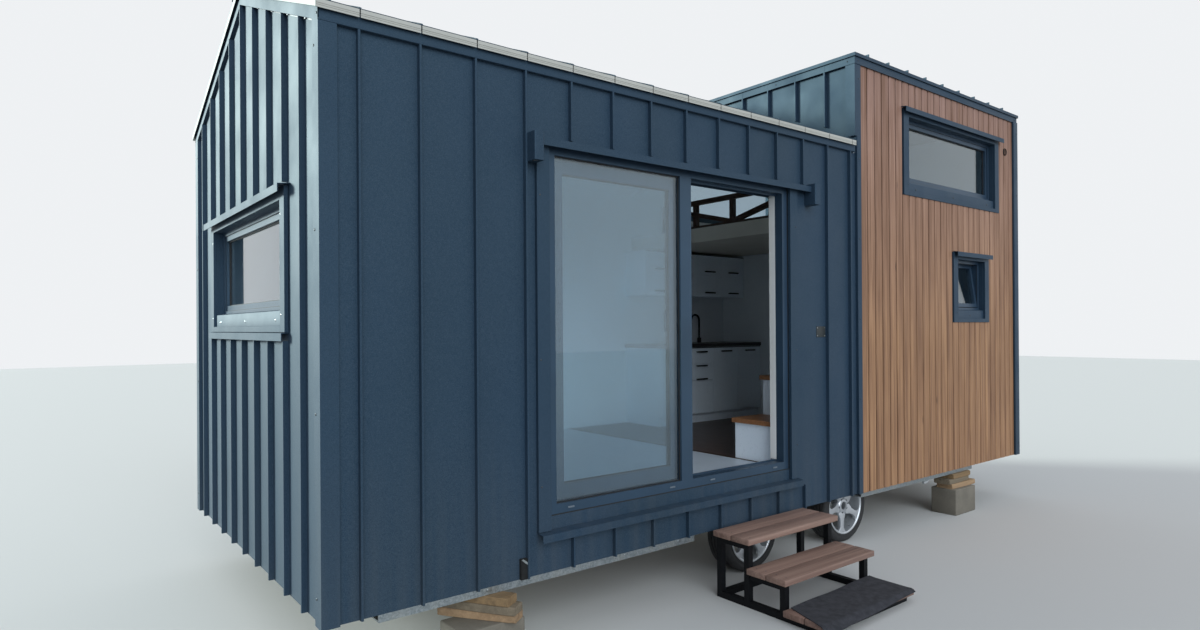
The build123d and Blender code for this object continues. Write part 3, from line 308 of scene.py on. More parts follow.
# A near-black wood for the backing behind the boards: painted shade in the grooves between them.
groove_painted_shade = timber("groove_painted_shade", "#170f0a", "#281a12", 2, 0.7, knots=0)
pine = timber("pine", "#7d654b", "#b49573", 0, 0.75, contrast=1.1)
pine_grey = timber("pine_grey", "#5f5547", "#877a66", 0, 0.8, contrast=1.1)
pine_tan = timber("pine_tan", "#604e38", "#957a57", 0, 0.8, contrast=1.2)
deck_board = timber("deck_board", "#664c43", "#9f8375", 0, 0.62, 0.153, front_y, 0.4, 1.05)
guard_wood = timber("guard_wood", "#2c1b12", "#4f3423", 1, 0.5, knots=0)
oak = timber("oak", "#74492f", "#a87549", 0, 0.42, knots=0.3)
dark_floor = timber("dark_floor", "#35231a", "#5c4030", 1, 0.35, 0.12, knots=0.3)
# The floor's pale grey is tinted blue: painted bluish shade light.
pale_floor = speckled("pale_floor", "#b4bdc7", "#c4ccd5", 45, 0.35, 0.0002)
worktop_stone = speckled("worktop_stone", "#262423", "#393532", 220, 0.35, 0.0002)
plywood = timber("plywood", "#a98556", "#ceb184", 0, 0.7, knots=0.4)
glass = window_glass("glass", "#cfe2ee", 0.7)
window_tint = window_glass("window_tint", "#9fb4c1", 0.65)

node_finishes = {
    dark_metal: ["front_cladding", "gable_cladding", "back_cladding", "end_cladding",
                 "step_cladding", "corner_trims", "flashings", "wall_lamps"],
    roof_metal: ["low_roof_front", "low_roof_back", "ridge_cap", "tall_roof",
                 "roof_edge_trim"],
    inner_white: ["back_wall", "front_wall_left", "front_wall_over_door", "front_wall_right",
                  "gable_wall", "partition", "step_wall", "tall_back_wall", "tall_end_wall",
                  "tall_front_wall"],
    frame_dark: ["door_frame", "sash_frame", "window_frames"],
    glass: ["door_fixed_pane", "sash_pane"],
    window_tint: ["window_panes"],
    plywood: ["floor_deck"],
    pale_floor: ["floor_living"],
    dark_floor: ["floor_kitchen"],
    loft_cream: ["loft_floor"],
    guard_wood: ["loft_guard"],
    unit_white: ["kitchen_units", "wall_units", "stair_boxes"],
    oak: ["stair_tops"],
    worktop_stone: ["worktop"],
    black_paint: ["tap", "step_frame"],
    galvanised: ["trailer_beams", "cross_members", "axles"],
    concrete: ["support_blocks"],
}
for finish, members in node_finishes.items():
    for member in members:
        for place in nodes[member].material_slots:
            place.material = finish


# Shapes

def directions(axis):
    """A direction made one unit long, and two more square to it."""
    axis = Vector(axis).normalized()
    across = axis.orthogonal().normalized()
    return axis, across, axis.cross(across)


def circle(centre, across, other, radius, steps):
    """Points round a centre, in the plane of two directions."""
    angles = [2 * math.pi * n / steps for n in range(steps)]
    return [Vector(centre) + (across * math.cos(a) + other * math.sin(a)) * radius
            for a in angles]


class Shape:
    """Collects closed solids in one mesh."""

    def __init__(self):
        self.mesh = bmesh.new()

    def block(self, lo, hi, bevel=0.0, segments=2):
        lo, hi = Vector(lo), Vector(hi)
        before = set(self.mesh.verts)
        size = Matrix.Diagonal((*(hi - lo), 1))
        corners = bmesh.ops.create_cube(self.mesh, size=1, matrix=size)["verts"]
        if bevel:
            edges = list({edge for vert in corners for edge in vert.link_edges})
            bmesh.ops.bevel(self.mesh, geom=edges, offset=bevel, segments=segments,
                            profile=0.5, affect="EDGES")
        made = [vert for vert in self.mesh.verts if vert not in before]
        bmesh.ops.translate(self.mesh, vec=(lo + hi) / 2, verts=made)
        return made

    def loft(self, rings, closed=False):
        """Joins rings of points, each as long as the next, into one closed skin."""
        rows = [[self.mesh.verts.new(point) for point in ring] for ring in rings]
        pairs = list(zip(rows, rows[1:]))
        if closed:
            pairs.append((rows[-1], rows[0]))
        for a, b in pairs:
            for n in range(len(a)):
                m = (n + 1) % len(a)
                self.mesh.faces.new((a[n], a[m], b[m], b[n]))
        if not closed:
            self.mesh.faces.new(rows[0][::-1])
            self.mesh.faces.new(rows[-1])

    def prism(self, points, axis, start, end):
        """An outline in the two other axes, in their order, run along an axis."""
        rings = []
        for along in (start, end):
            ring = [list(point) for point in points]
            for place in ring:
                place.insert(axis, along)
            rings.append(ring)
        self.loft(rings)

    def lathe(self, profile, centre, axis, steps=48):
        """A closed outline of (radius, distance along the axis), turned about the axis."""
        axis, across, other = directions(axis)
        ways = circle((0, 0, 0), across, other, 1, steps)
        self.loft([[Vector(centre) + way * r + axis * d for r, d in profile] for way in ways],
                  closed=True)

    def dome(self, centre, normal, radius, height, steps=10):
        """A screw's round head on a face."""
        normal, across, other = directions(normal)
        self.loft([circle(Vector(centre) + normal * (rise * height), across, other,
                          radius * share, steps)
                   for share, rise in ((1, 0), (0.92, 0.5), (0.6, 0.88), (0.15, 1))])

    def tube(self, points, radius, steps):
        """A round bar along a line of points."""
        points = [Vector(point) for point in points]
        rings = []
        across = None
        for n, point in enumerate(points):
            run = (points[min(n + 1, len(points) - 1)] - points[max(n - 1, 0)]).normalized()
            if across is None:
                across = run.orthogonal()
            across = (across - run * across.dot(run)).normalized()
            rings.append(circle(point, across, run.cross(across), radius, steps))
        self.loft(rings)

    def finish(self, name, material, slot, body="house", sharp=35.0):
        """Makes the piece, smooth except at sharp edges, riding on a body."""
        bmesh.ops.recalc_face_normals(self.mesh, faces=self.mesh.faces[:])
        for edge in self.mesh.edges:
            edge.smooth = len(edge.link_faces) == 2 and (
                edge.calc_face_angle(0) < math.radians(sharp))
        for face in self.mesh.faces:
            face.smooth = True
        data = bpy.data.meshes.new(name)
        self.mesh.to_mesh(data)
        self.mesh.free()
        data.materials.append(material)
        piece = bpy.data.objects.new(name, data)
        bpy.context.scene.collection.objects.link(piece)
        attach(piece, body)
        return piece


def bars(u0, u1, v0, v1, width):
    """Four bars inside a rectangle's edges; the two along u run past the two along v."""
    return [(u0, u1, v0, v0 + width), (u0, u1, v1 - width, v1),
            (u0, u0 + width, v0 + width, v1 - width), (u1 - width, u1, v0 + width, v1 - width)]


def joined_boxes(node, axis=0, plane=None):
    """The lower and upper corners of each joined group of a CAD node's faces, all or in a plane."""
    seen = bmesh.new()
    seen.from_mesh(nodes[node].data)
    bmesh.ops.remove_doubles(seen, verts=seen.verts[:], dist=1e-5)
    left = {face for face in seen.faces if plane is None
            or all(abs(vert.co[axis] - plane) < 1e-4 for vert in face.verts)}
    boxes = []
    while left:
        start = left.pop()
        group, todo = {start}, [start]
        while todo:
            for edge in todo.pop().edges:
                near = left.intersection(edge.link_faces)
                left -= near
                group |= near
                todo += near
        points = [vert.co for face in group for vert in face.verts]
        boxes.append([Vector([pick(p[k] for p in points) for k in range(3)])
                      for pick in (min, max)])
    seen.free()
    return sorted(boxes, key=lambda box: [round(value, 4) for value in box[0]])


# Timber cladding of the tall part, board by board

board_width = 0.109
board_gap = 0.015
board_edge = 0.006
uneven = 0.0008


def hole(x, z, size):
    """The edges of a window's opening with its apron."""
    return x, x + size[0], z - apron_height, z + size[1]


def board_spans(x0, x1, foot, top, holes):
    """The straight pieces of one board that the windows leave."""
    spans = [(x0, x1, foot, top)]
    for left, right, bottom, head in holes:
        cut = []
        for a, b, z0, z1 in spans:
            if b <= left or a >= right or z1 <= bottom or z0 >= head:
                cut.append((a, b, z0, z1))
                continue
            cut += [(a, b, z0, bottom), (a, b, head, z1)]
            if a < left:
                cut.append((a, left, bottom, head))
            if b > right:
                cut.append((right, b, bottom, head))
        spans = cut
    return spans


def wall_boards(name, node, holes, outward):
    """Boards with eased edges, a little uneven in depth, on one long side, over painted groove
    shade.
    """
    lo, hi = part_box(node)
    face, back = (lo.y, hi.y) if outward < 0 else (hi.y, lo.y)
    backing_depth = 0.012
    count = round((hi.x - lo.x) / board_width)
    pitch = (hi.x - lo.x) / count
    step = outward * board_edge
    shape, backing = Shape(), Shape()
    for n in range(count):
        outer = face - outward * random.uniform(0, uneven)
        for x0, x1, z0, z1 in board_spans(lo.x + n * pitch, lo.x + (n + 1) * pitch,
                                          lo.z, hi.z, holes):
            a, b = x0 + board_gap / 2, x1 - board_gap / 2
            shape.prism([(a, back), (b, back), (b, outer - step), (b - board_edge, outer),
                         (a + board_edge, outer), (a, outer - step)], 2, z0, z1)
            backing.prism([(x0, back), (x1, back), (x1, face - outward * backing_depth),
                           (x0, face - outward * backing_depth)], 2, z0, z1)
    piece = shape.finish(name, cedar, "wood_cladding")
    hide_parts(node)
    # The backing shows in the grooves; its near-black colour is painted shade.
    backing.finish(name + "_backing", groove_painted_shade, "wood_cladding")


loft_hole = hole(loft_window_x, loft_window_z, long_window)
small_hole = hole(small_window_x, small_window_z, small_window)
random.seed(7)
wall_boards("boards_front", "tall_front_boards", [loft_hole, small_hole], -1)
wall_boards("boards_back", "tall_back_boards", [loft_hole], 1)


# Screws on the trims, and the thin folds along their edges

corner_width = 0.082
wood_trim = 0.055
end_fold = 0.014                       # how far the right corners' trims stand out
end_fold_width = 0.088


def screw_row(shape, start, end, normal, pitch=0.6, radius=0.006):
    """Screw heads in a line, from a start to an end."""
    start, end = Vector(start), Vector(end)
    count = max(1, round((end - start).length / pitch))
    for n in range(count + 1):
        shape.dome(start.lerp(end, n / count), normal, radius, 0.004)


def trim_details():
    screws, corner_screws, folds = Shape(), Shape(), Shape()
    end_x = right_x + trim_sheet
    for side_y, way in ((front_y - trim_sheet, -1), (back_y + trim_sheet, 1)):
        x, y = left_x + corner_width * 0.7, side_y - way * trim_sheet
        screw_row(screws, (x, y, skirt_z + 0.15), (x, y, soffit_z - 0.15), (0, way, 0))
        for x, proud in ((joint_x + wood_trim / 2, 0), (right_x - wood_trim / 2, end_fold)):
            y = side_y + way * proud
            screw_row(screws, (x, y, skirt_z + 0.12), (x, y, tall_z - 0.2), (0, way, 0))
        y0, y1 = sorted((side_y + way * end_fold, side_y - way * 0.006))
        folds.block((right_x - end_fold_width, y0, skirt_z), (end_x, y1, tall_z - 0.078),
                    0.0015)
        y = side_y - way * corner_width * 0.72
        for x, top, out in ((left_x - trim_sheet, soffit_z, -1), (end_x, tall_z, 1)):
            screw_row(corner_screws, (x, y, skirt_z + 0.13), (x, y, top - 0.1), (out, 0, 0),
                      0.8, 0.0065)
        y0, y1 = sorted((side_y - way * corner_width, side_y - way * (corner_width - 0.012)))
        folds.block((end_x, y0, skirt_z), (end_x + 0.0015, y1, tall_z - 0.08))
    screws.finish("trim_screws", dark_steel, "frame_dark")
    corner_screws.finish("corner_screws", dark_steel, "frame_dark")
    folds.finish("trim_folds", dark_metal, "dark_cladding")


trim_details()


# Openings: folded surrounds with deep reveals, sills, aprons, seals, painted groove shade and
# screws

surround_foot = 0.035
top_flange = 0.062
reveal_depth = 0.060
board_seat = 0.021
pan_seat = 0.017
sheet_edge = 0.0012
door = (1.250, 3.395)                  # from the left corner
door_sill_z, door_head_z = 0.650, 2.811
gable_u = back_y - gable_window_y - long_window[0]
windows = {
    "gable": ("gable", gable_u, gable_window_z, *long_window, pan_seat),
    "loft_front": ("front", loft_window_x - left_x, loft_window_z, *long_window, board_seat),
    "loft_back": ("back", right_x - loft_window_x - long_window[0], loft_window_z,
                  *long_window, board_seat),
    "small": ("front", small_window_x - left_x, small_window_z, *small_window, board_seat)}
outward_of = {"front": (0, -1, 0), "back": (0, 1, 0), "gable": (-1, 0, 0)}


def on_wall(side, along, out, height):
    """A point on a wall: along it from its left end seen from outside, out of it, and up."""
    if side == "front":
        return Vector((left_x + along, front_y - out, height))
    if side == "back":
        return Vector((right_x - along, back_y + out, height))
    return Vector((left_x - out, back_y - along, height))


def wall_block(shape, side, along, out, height, bevel=0.0):
    """A block on a wall, between two values along it, out of it and up."""
    one = on_wall(side, along[0], out[0], height[0])
    other = on_wall(side, along[1], out[1], height[1])
    lo = [min(a, b) for a, b in zip(one, other)]
    hi = [max(a, b) for a, b in zip(one, other)]
    shape.block(lo, hi, bevel, 1)


def wall_ring(shape, side, along, height, width, out):
    """Four bars inside a rectangle on a wall."""
    for z0, z1, u0, u1 in bars(*height, *along, width):
        wall_block(shape, side, (u0, u1), out, (z0, z1))


def surround(shape, side, opening, head, foot, top, seat):
    """The face of a surround: two uprights and the piece over an opening."""
    u0, u1 = opening
    inner = (u0 + trim_sheet, u1 - trim_sheet)
    for along, height in (((u0 - surround_width, inner[0]), (foot, top)),
                          ((inner[1], u1 + surround_width), (foot, top)),
                          (inner, (head - trim_sheet, top))):
        wall_block(shape, side, along, (-seat, trim_sheet), height, sheet_edge)
    return inner


def window_trim(surrounds, seals, screw, name):
    """A window's surround, reveals, folded sill and apron, seals, a black ring of painted groove
    shade, and screws.
    """
    side, u, z, wide, high, seat = windows[name]
    sheet = trim_sheet
    u0, u1 = u - surround_width, u + wide + surround_width
    foot = z - apron_height
    ledge = foot + surround_foot
    inner = surround(surrounds, side, (u, u + wide), z + high, foot, z + high + top_flange,
                     seat)
    wall_block(surrounds, side, inner, (-seat, sheet), (foot, ledge), sheet_edge)
    for along in ((u, u + sheet), (u + wide - sheet, u + wide)):
        wall_block(surrounds, side, along, (-reveal_depth, -seat), (z, z + high))
    wall_block(surrounds, side, inner, (-reveal_depth, -seat), (z + high - sheet, z + high))
    out = 0.004 - seat
    sill = [(-reveal_depth, z + 0.011), (out - 0.002, z + 0.003), (out, z),
            (out, ledge - 0.002), (out - 0.002, ledge - 0.002), (out - 0.002, z - 0.001),
            (-reveal_depth, z + 0.0085)]
    surrounds.loft([[on_wall(side, along, d, height) for d, height in sill]
                    for along in inner])
    normal = outward_of[side]
    for share in (0.09, 0.5, 0.91) if wide > 1 else (0.5,):
        screw.dome(on_wall(side, u + wide * share, out, z - apron_height * 0.42), normal, 0.008,
                   0.004)
    for along in (u0 + surround_width * 0.8, u1 - surround_width * 0.8):
        for height in (z - 0.02, z + high - 0.08):
            screw.dome(on_wall(side, along, sheet, height), normal, 0.0055, 0.003)
    outer, pane, step = 0.0285, 0.066, 0.068
    # The outer black ring is painted shade in the groove between the frame's steps; the inner ring
    # is the pane's seal.
    wall_ring(seals, side, (u + outer, u + wide - outer), (z + outer, z + high - outer),
              0.0045, (-step - 0.001, -step + 0.0012))
    if name != "small":
        wall_ring(seals, side, (u + pane, u + wide - pane), (z + pane, z + high - pane), 0.006,
                  (-0.0921, -0.085))


def openings_trim():
    surrounds, seals, dark_screws, pale_screws = Shape(), Shape(), Shape(), Shape()
    for name in windows:
        window_trim(surrounds, seals, pale_screws if name == "gable" else dark_screws, name)
    u0, u1 = door
    surround(surrounds, "front", door, door_head_z, door_sill_z, door_head_z + 0.0075,
             pan_seat + 0.002)
    wall_ring(seals, "front", (u0, u1), (floor_z - 0.012, door_head_z), 0.005,
              (-0.0285, -0.0235))
    for along in (u0 - surround_width * 0.75, u1 + surround_width * 0.75):
        for height in (door_sill_z + 0.25, 1.6, door_head_z - 0.30):
            dark_screws.dome(on_wall("front", along, trim_sheet, height), outward_of["front"],
                             0.0055, 0.003)
    piece = surrounds.finish("surrounds", dark_metal, "dark_cladding")
    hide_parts("opening_surrounds")
    seals.finish("window_seals_and_groove_shade", black_seal, "frame_dark")
    dark_screws.finish("surround_screws", dark_steel, "frame_dark")
    pale_screws.finish("gable_window_screws", bright_steel, "wheel_alloy")


openings_trim()


# Caps that carry the seams of the sheet cladding a little further out than the solids

def seam_caps():
    cap_out, cap_in = 0.009, 0.001
    caps = Shape()
    walls = (("gable_cladding", 0, left_x, -1), ("front_cladding", 1, front_y, -1),
             ("back_cladding", 1, back_y, 1), ("end_cladding", 0, right_x, 1),
             ("step_cladding", 0, low("step_cladding").x, -1))
    for node, axis, plane, way in walls:
        for lo, hi in joined_boxes(node, axis, plane):
            lo[axis], hi[axis] = sorted((plane - way * cap_in, plane + way * cap_out))
            caps.block(lo, hi, 0.001, 1)
    caps.finish("seam_caps", dark_metal, "dark_cladding")


seam_caps()


# Small fittings on the walls: vent, cover plate, painted shade in the skirt notch, clips, lamp
# lenses

def wall_fittings():
    vent = Shape()
    centre = Vector((left_x + 6.950, front_y + 0.004, 3.562))
    out = (0, -1, 0)
    vent.lathe([(0.030, -0.002), (0.037, -0.002), (0.0375, 0.004), (0.034, 0.007),
                (0.031, 0.005)], centre, out, 32)
    vent.lathe([(0.0001, -0.002), (0.031, -0.002), (0.031, -0.0005), (0.0001, -0.0005)],
               centre, out, 32)
    for rise in (-0.020, -0.010, 0, 0.010, 0.020):
        z = centre.z + rise
        half = math.sqrt(0.031 ** 2 - rise ** 2)
        vent.block((centre.x - half, centre.y - 0.0045, z - 0.0012),
                   (centre.x + half, centre.y + 0.001, z + 0.0012))
    vent.finish("wall_vent", black_paint, "black_metal")

    pan_y = front_y + 0.019
    plate = Shape()
    plate.block((left_x + 3.728, pan_y - 0.003, 1.691), (left_x + 3.842, pan_y + 0.001, 1.774),
                0.0012)
    plate.finish("cover_plate", plain("plate_olive", "#23282a", "#2b3030", 0.55),
                 "dark_cladding")
    small = Shape()
    for x in (3.739, 3.831):
        for z in (1.702, 1.763):
            small.dome((left_x + x, pan_y - 0.003, z), out, 0.0045, 0.002)
    small.finish("plate_screws", bright_steel, "wheel_alloy")

    # A near-black block fills the notch at the foot of a seam: painted shade in the opening.
    notch = Shape()
    notch.block((left_x + 1.056, front_y - 0.001, skirt_z),
                (left_x + 1.1105, pan_y + 0.001, skirt_z + 0.112))
    notch.finish("skirt_notch_shade", plain("notch_painted_shade", "#08090b", "#0b0d0f", 0.9), "frame_dark")
    clips = Shape()
    clips.prism([(left_x + 1.057, skirt_z + 0.108), (left_x + 1.068, skirt_z + 0.112),
                 (left_x + 1.111, skirt_z + 0.080), (left_x + 1.111, skirt_z + 0.064)],
                1, front_y - 0.003, front_y + 0.001)
    beam_face = low("trailer_beams").y
    for x in (0.86, 1.80, 2.25):
        clips.block((left_x + x - 0.030, beam_face - 0.004, skirt_z - 0.024),
                    (left_x + x + 0.030, beam_face, skirt_z + 0.02), 0.0015)
        clips.dome((left_x + x, beam_face - 0.004, skirt_z - 0.012), out, 0.007, 0.005, 6)
    clips.finish("beam_clips", galvanised, "galvanised")
    pipe = Shape()
    run = [(5.372, 0.349), (5.428, 0.349), (5.442, 0.3525), (5.450, 0.362), (5.452, 0.376),
           (5.452, 0.430)]
    pipe.tube([(left_x + x, front_y + 0.060, z) for x, z in run], 0.012, 16)
    pipe.finish("drain_pipe", plain("pipe_grey", "#b9bcbd", "#a9acad", 0.4), "galvanised")

    lenses = Shape()
    lamp_lo, lamp_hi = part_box("wall_lamps")
    for x in (lamp_lo.x + 0.031, lamp_hi.x - 0.031):
        for z, up in ((lamp_lo.z + 0.010, -1), (lamp_hi.z - 0.012, 1)):
            lenses.lathe([(0.0001, 0), (0.0218, 0), (0.0218, 0.002), (0.018, 0.0035),
                          (0.0001, 0.004)], (x, lamp_lo.y + 0.0405, z), (0, 0, up), 24)
    lenses.finish("lamp_lenses", plain("lens", "#e6e2d6", "#dcd8cc", 0.3), "white_units")


wall_fittings()


# Low roof: ceiling, pans and seams, folded eaves and verges

low_ridge_z = tall_z - 0.127
eave_z = low_ridge_z - 0.584
eave_out = 0.024
verge_out = 0.020
half_width = middle_y - front_y
roof_slope = (low_ridge_z - eave_z) / (half_width + eave_out)
roof_end = high("low_roof_front").x
strip_end = joint_x - 0.038
lip_height = 0.042
roof_sheet = 0.003
seam_pitch = 0.306
seam_width = 0.012
roof_seams = [left_x + 0.184]
while roof_seams[-1] + seam_pitch < joint_x - 0.05:
    roof_seams.append(roof_seams[0] + seam_pitch * len(roof_seams))


def roof_height(inward):
    """Height of the low roof's face at a distance inward from a long wall's face."""
    return eave_z + roof_slope * (inward + eave_out)


roof_drop = roof_height(0) - soffit_z


def slopes(shape, outline, start, end):
    """An outline of (distance inward, height) run along the front slope and the back one."""
    for edge, way in ((front_y, 1), (back_y, -1)):
        shape.prism([(edge + way * inward, z) for inward, z in outline], 0, start, end)


def layer(shape, inward, under, over, start, end):
    """A layer of both slopes, from a distance inward to the ridge, between two depths."""
    slopes(shape, [(inward, roof_height(inward) - under), (half_width, low_ridge_z - under),
                   (half_width, low_ridge_z - over), (inward, roof_height(inward) - over)],
           start, end)


def low_roof():
    """Ceiling slabs, dark pans with low seams, and the dark edge of the slabs."""
    rim = 0.0245
    ceiling, pans = Shape(), Shape()
    layer(ceiling, rim, roof_drop, roof_sheet, left_x + rim, roof_end)
    layer(pans, rim, roof_drop, roof_sheet, left_x, left_x + rim)
    slopes(pans, [(0, soffit_z), (rim, soffit_z), (rim, roof_height(rim)), (0, roof_height(0))],
           left_x, roof_end)
    layer(pans, -eave_out, roof_sheet, 0, left_x - verge_out, roof_end)
    for x in roof_seams:
        slopes(pans, [(-eave_out, eave_z), (half_width, low_ridge_z),
                      (half_width, low_ridge_z + 0.024),
                      (0.010 - eave_out, roof_height(0.010 - eave_out) + 0.006),
                      (-eave_out, eave_z + 0.004)], x - seam_width / 2, x + seam_width / 2)
    inside = ceiling.finish("ceiling_panels", inner_white, "inner_wall")
    outside = pans.finish("roof_pans", roof_metal, "dark_cladding")
    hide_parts("low_roof_front")
    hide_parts("low_roof_front", "low_roof_back")


def eave_strips():
    """The pans' ends folded down at the eaves, one strip a pan, with two pressed lines."""
    strips = Shape()
    ends = [left_x - verge_out] + roof_seams + [strip_end]
    gap = 0.0032
    profile = [(0.004, 0.003), (0.0012, 0.003), (0, 0.006), (0, 0.0215), (0.0022, 0.0235),
               (0.0004, 0.0255), (0.0004, 0.0300), (0.0024, 0.0325), (0.0004, 0.0350),
               (0, lip_height), (0.004, lip_height)]
    outline = [(inward - eave_out, eave_z - drop) for inward, drop in profile]
    for start, end in zip(ends, ends[1:]):
        slopes(strips, outline, start + gap, end - gap)
    strips.finish("eave_strips", back_coat, "dark_cladding")


def verge_boards():
    """Dark boards under the roof's edges all round, and the folded lip along the verges."""
    boards, lips, heads = Shape(), Shape(), Shape()
    face = -trim_sheet
    layer(boards, face, roof_drop, roof_sheet, left_x + face, left_x)
    slopes(boards, [(face, soffit_z), (0, soffit_z), (0, roof_height(0) - roof_sheet),
                    (face, roof_height(0) - roof_sheet)], left_x + face, strip_end)
    slopes(boards, [(face, soffit_z), (face - 0.0025, soffit_z + 0.002),
                    (face - 0.0025, soffit_z + 0.007), (face, soffit_z + 0.009)],
           left_x + face, strip_end)
    for y in (front_y + 0.012, back_y - 0.012):
        heads.dome((left_x + face, y, roof_height(0.012) - roof_drop + 0.030), (-1, 0, 0),
                   0.006, 0.004)
    layer(lips, -eave_out, lip_height, roof_sheet, left_x - verge_out,
          left_x - verge_out + 0.002)
    layer(boards, -eave_out, 0, -0.004, left_x - verge_out, left_x + 0.05)
    piece = boards.finish("verge_boards", dark_metal, "dark_cladding")
    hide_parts("low_roof_trims")
    lips.finish("verge_lips", back_coat, "dark_cladding")
    heads.finish("verge_screws", dark_steel, "frame_dark")


def tall_roof_edge():
    """A folded lip along the tall roof's edge, with a flat fascia set back under it."""
    lo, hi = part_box("roof_edge_trim")
    inner_lip = 0.09
    lip_foot = hi.z - 0.027
    sheet = 0.003
    set_back = 0.012
    lips, fascia, heads = Shape(), Shape(), Shape()

    def frame_ring(shape, inset, width, z0, z1):
        for x0, x1, y0, y1 in bars(lo.x + inset, hi.x - inset, lo.y + inset, hi.y - inset,
                                   width):
            shape.block((x0, y0, z0), (x1, y1, z1))

    frame_ring(lips, 0, inner_lip, hi.z - sheet, hi.z)
    frame_ring(lips, 0, sheet, lip_foot, hi.z - sheet)
    frame_ring(fascia, set_back, sheet, lo.z - 0.006, hi.z - sheet)
    for y, way in ((lo.y + set_back, -1), (hi.y - set_back, 1)):
        for x in (lo.x + 0.06, hi.x - 0.06):
            heads.dome((x, y, lo.z + 0.022), (0, way, 0), 0.006, 0.004)
    for y in (lo.y + 0.08, lo.y + 0.8, (lo.y + hi.y) / 2, hi.y - 0.8, hi.y - 0.08):
        heads.dome((lo.x + set_back, y, lo.z + 0.022), (-1, 0, 0), 0.006, 0.004)
    piece = lips.finish("tall_roof_lip", dark_metal, "dark_cladding")
    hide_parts("roof_edge_trim")
    fascia.finish("tall_roof_fascia", dark_metal, "dark_cladding")
    heads.finish("fascia_screws", dark_steel, "frame_dark")


low_roof()
eave_strips()
verge_boards()
tall_roof_edge()


# Wheels

wheel_width = 0.182
rim_radius = 0.227
wheel_radius = high("tyre_front_left").z / 2
hub_face = 0.024
bolt_radius = 0.054
spoke_stations = [(0.040, 0.029, 0.026, 0.034), (0.070, 0.048, 0.022, 0.036),
                  (0.088, 0.042, 0.019, 0.035), (0.106, 0.030, 0.016, 0.034),
                  (0.130, 0.024, 0.013, 0.032), (0.158, 0.023, 0.010, 0.030),
                  (0.182, 0.029, 0.008, 0.028), (0.198, 0.047, 0.007, 0.028),
                  (0.210, 0.080, 0.006, 0.028)]
spoke_angles = {"front_left": 88, "front_right": 115, "back_left": 70, "back_right": 20}


def wheel(where):
    """A cast five-spoke wheel with a grooved tyre, turned out from its own side."""
    lo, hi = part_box(f"rim_{where}")
    outward = -1 if where.startswith("front") else 1
    face_y = lo.y if outward < 0 else hi.y
    centre = Vector(((lo.x + hi.x) / 2, face_y, (lo.z + hi.z) / 2))
    axis = (0, outward, 0)
    body = f"wheel_{where}"
    cast = Shape()
    cast.lathe([(rim_radius, -0.001), (rim_radius - 0.005, 0), (0.214, -0.002),
                (0.209, -0.012), (0.207, -0.060), (0.196, -0.085), (0.192, -wheel_width + 0.03),
                (0.205, -wheel_width + 0.004), (rim_radius, -wheel_width),
                (rim_radius, -wheel_width + 0.009), (0.216, -wheel_width + 0.010),
                (0.200, -wheel_width + 0.035), (0.200, -0.085), (0.216, -0.012),
                (rim_radius, -0.009)], centre, axis, 72)
    cast.lathe([(0.0301, -hub_face - 0.075), (0.062, -hub_face - 0.075),
                (0.068, -hub_face - 0.02), (0.060, -hub_face), (0.048, -0.020),
                (0.034, -0.018), (0.032, -0.024), (0.0301, -hub_face - 0.004)], centre, axis, 40)
    angles = [math.radians(spoke_angles[where] + n * 360 / 5) for n in range(5)]
    spokes = [Vector((math.cos(angle), 0, math.sin(angle))) for angle in angles]
    for out in spokes:
        across = Vector((-out.z, 0, out.x))
        rings = []
        for radius, half, depth, thick in spoke_stations:
            outline = [(-half, 0.30), (-half * 0.86, 0.06), (-half * 0.4, 0.0), (half * 0.4, 0.0),
                       (half * 0.86, 0.06), (half, 0.30), (half * 0.85, 1), (-half * 0.85, 1)]
            rings.append([centre + out * radius + across * u
                          - Vector(axis) * (depth + v * thick) for u, v in outline])
        cast.loft(rings)
    piece = cast.finish(f"wheel_{where}_cast", alloy, "wheel_alloy", body, 50)
    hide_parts(f"rim_{where}")

    details = Shape()
    for out in spokes:
        details.lathe([(0.0001, -0.0212), (0.0085, -0.0212), (0.0095, -0.0235), (0.0095, -0.034),
                       (0.0001, -0.034)], centre + out * bolt_radius, axis, 12)
    details.lathe([(0.0001, -0.019), (0.018, -0.0195), (0.026, -0.022), (0.029, -0.026),
                   (0.029, -0.034), (0.0001, -0.034)], centre, axis, 32)
    details.finish(f"wheel_{where}_bolts", dark_steel, "black_metal", body)
    cap = Shape()
    cap.lathe([(0.0001, 0.0), (0.003, 0.0), (0.0035, -0.02), (0.0001, -0.02)],
              centre + Vector((0.19, 0, 0.05)), axis, 8)
    cap.finish(f"wheel_{where}_cap", alloy, "wheel_alloy", body)

    tread, groove = wheel_radius, 0.007
    side = [(0.2175, -0.0095), (0.2275, -0.0095), (0.2275, -0.003), (0.232, 0.0035),
            (0.246, 0.0048), (0.2475, 0.0038), (0.2495, 0.0048), (0.262, 0.0038),
            (0.272, 0.0010), (0.282, -0.0045), (tread - 0.003, -0.012), (tread, -0.020)]
    crown = []
    for middle in (0.050, 0.077):
        crown += [(tread, -middle + 0.0045), (tread - groove, -middle + 0.003),
                  (tread - groove, -middle - 0.003), (tread, -middle - 0.0045)]
    near = side + crown
    far = [(r, -wheel_width - d) for r, d in near[::-1]]
    ring = Shape()
    ring.lathe(near + far, centre, axis, 96)
    tyre = ring.finish(f"wheel_{where}_tyre", rubber, "tyre_rubber", body, 40)
    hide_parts(f"tyre_{where}")


for wheel_place in ("front_left", "front_right", "back_left", "back_right"):
    wheel(wheel_place)


# Steps: rounded boards, screws and the felt mat

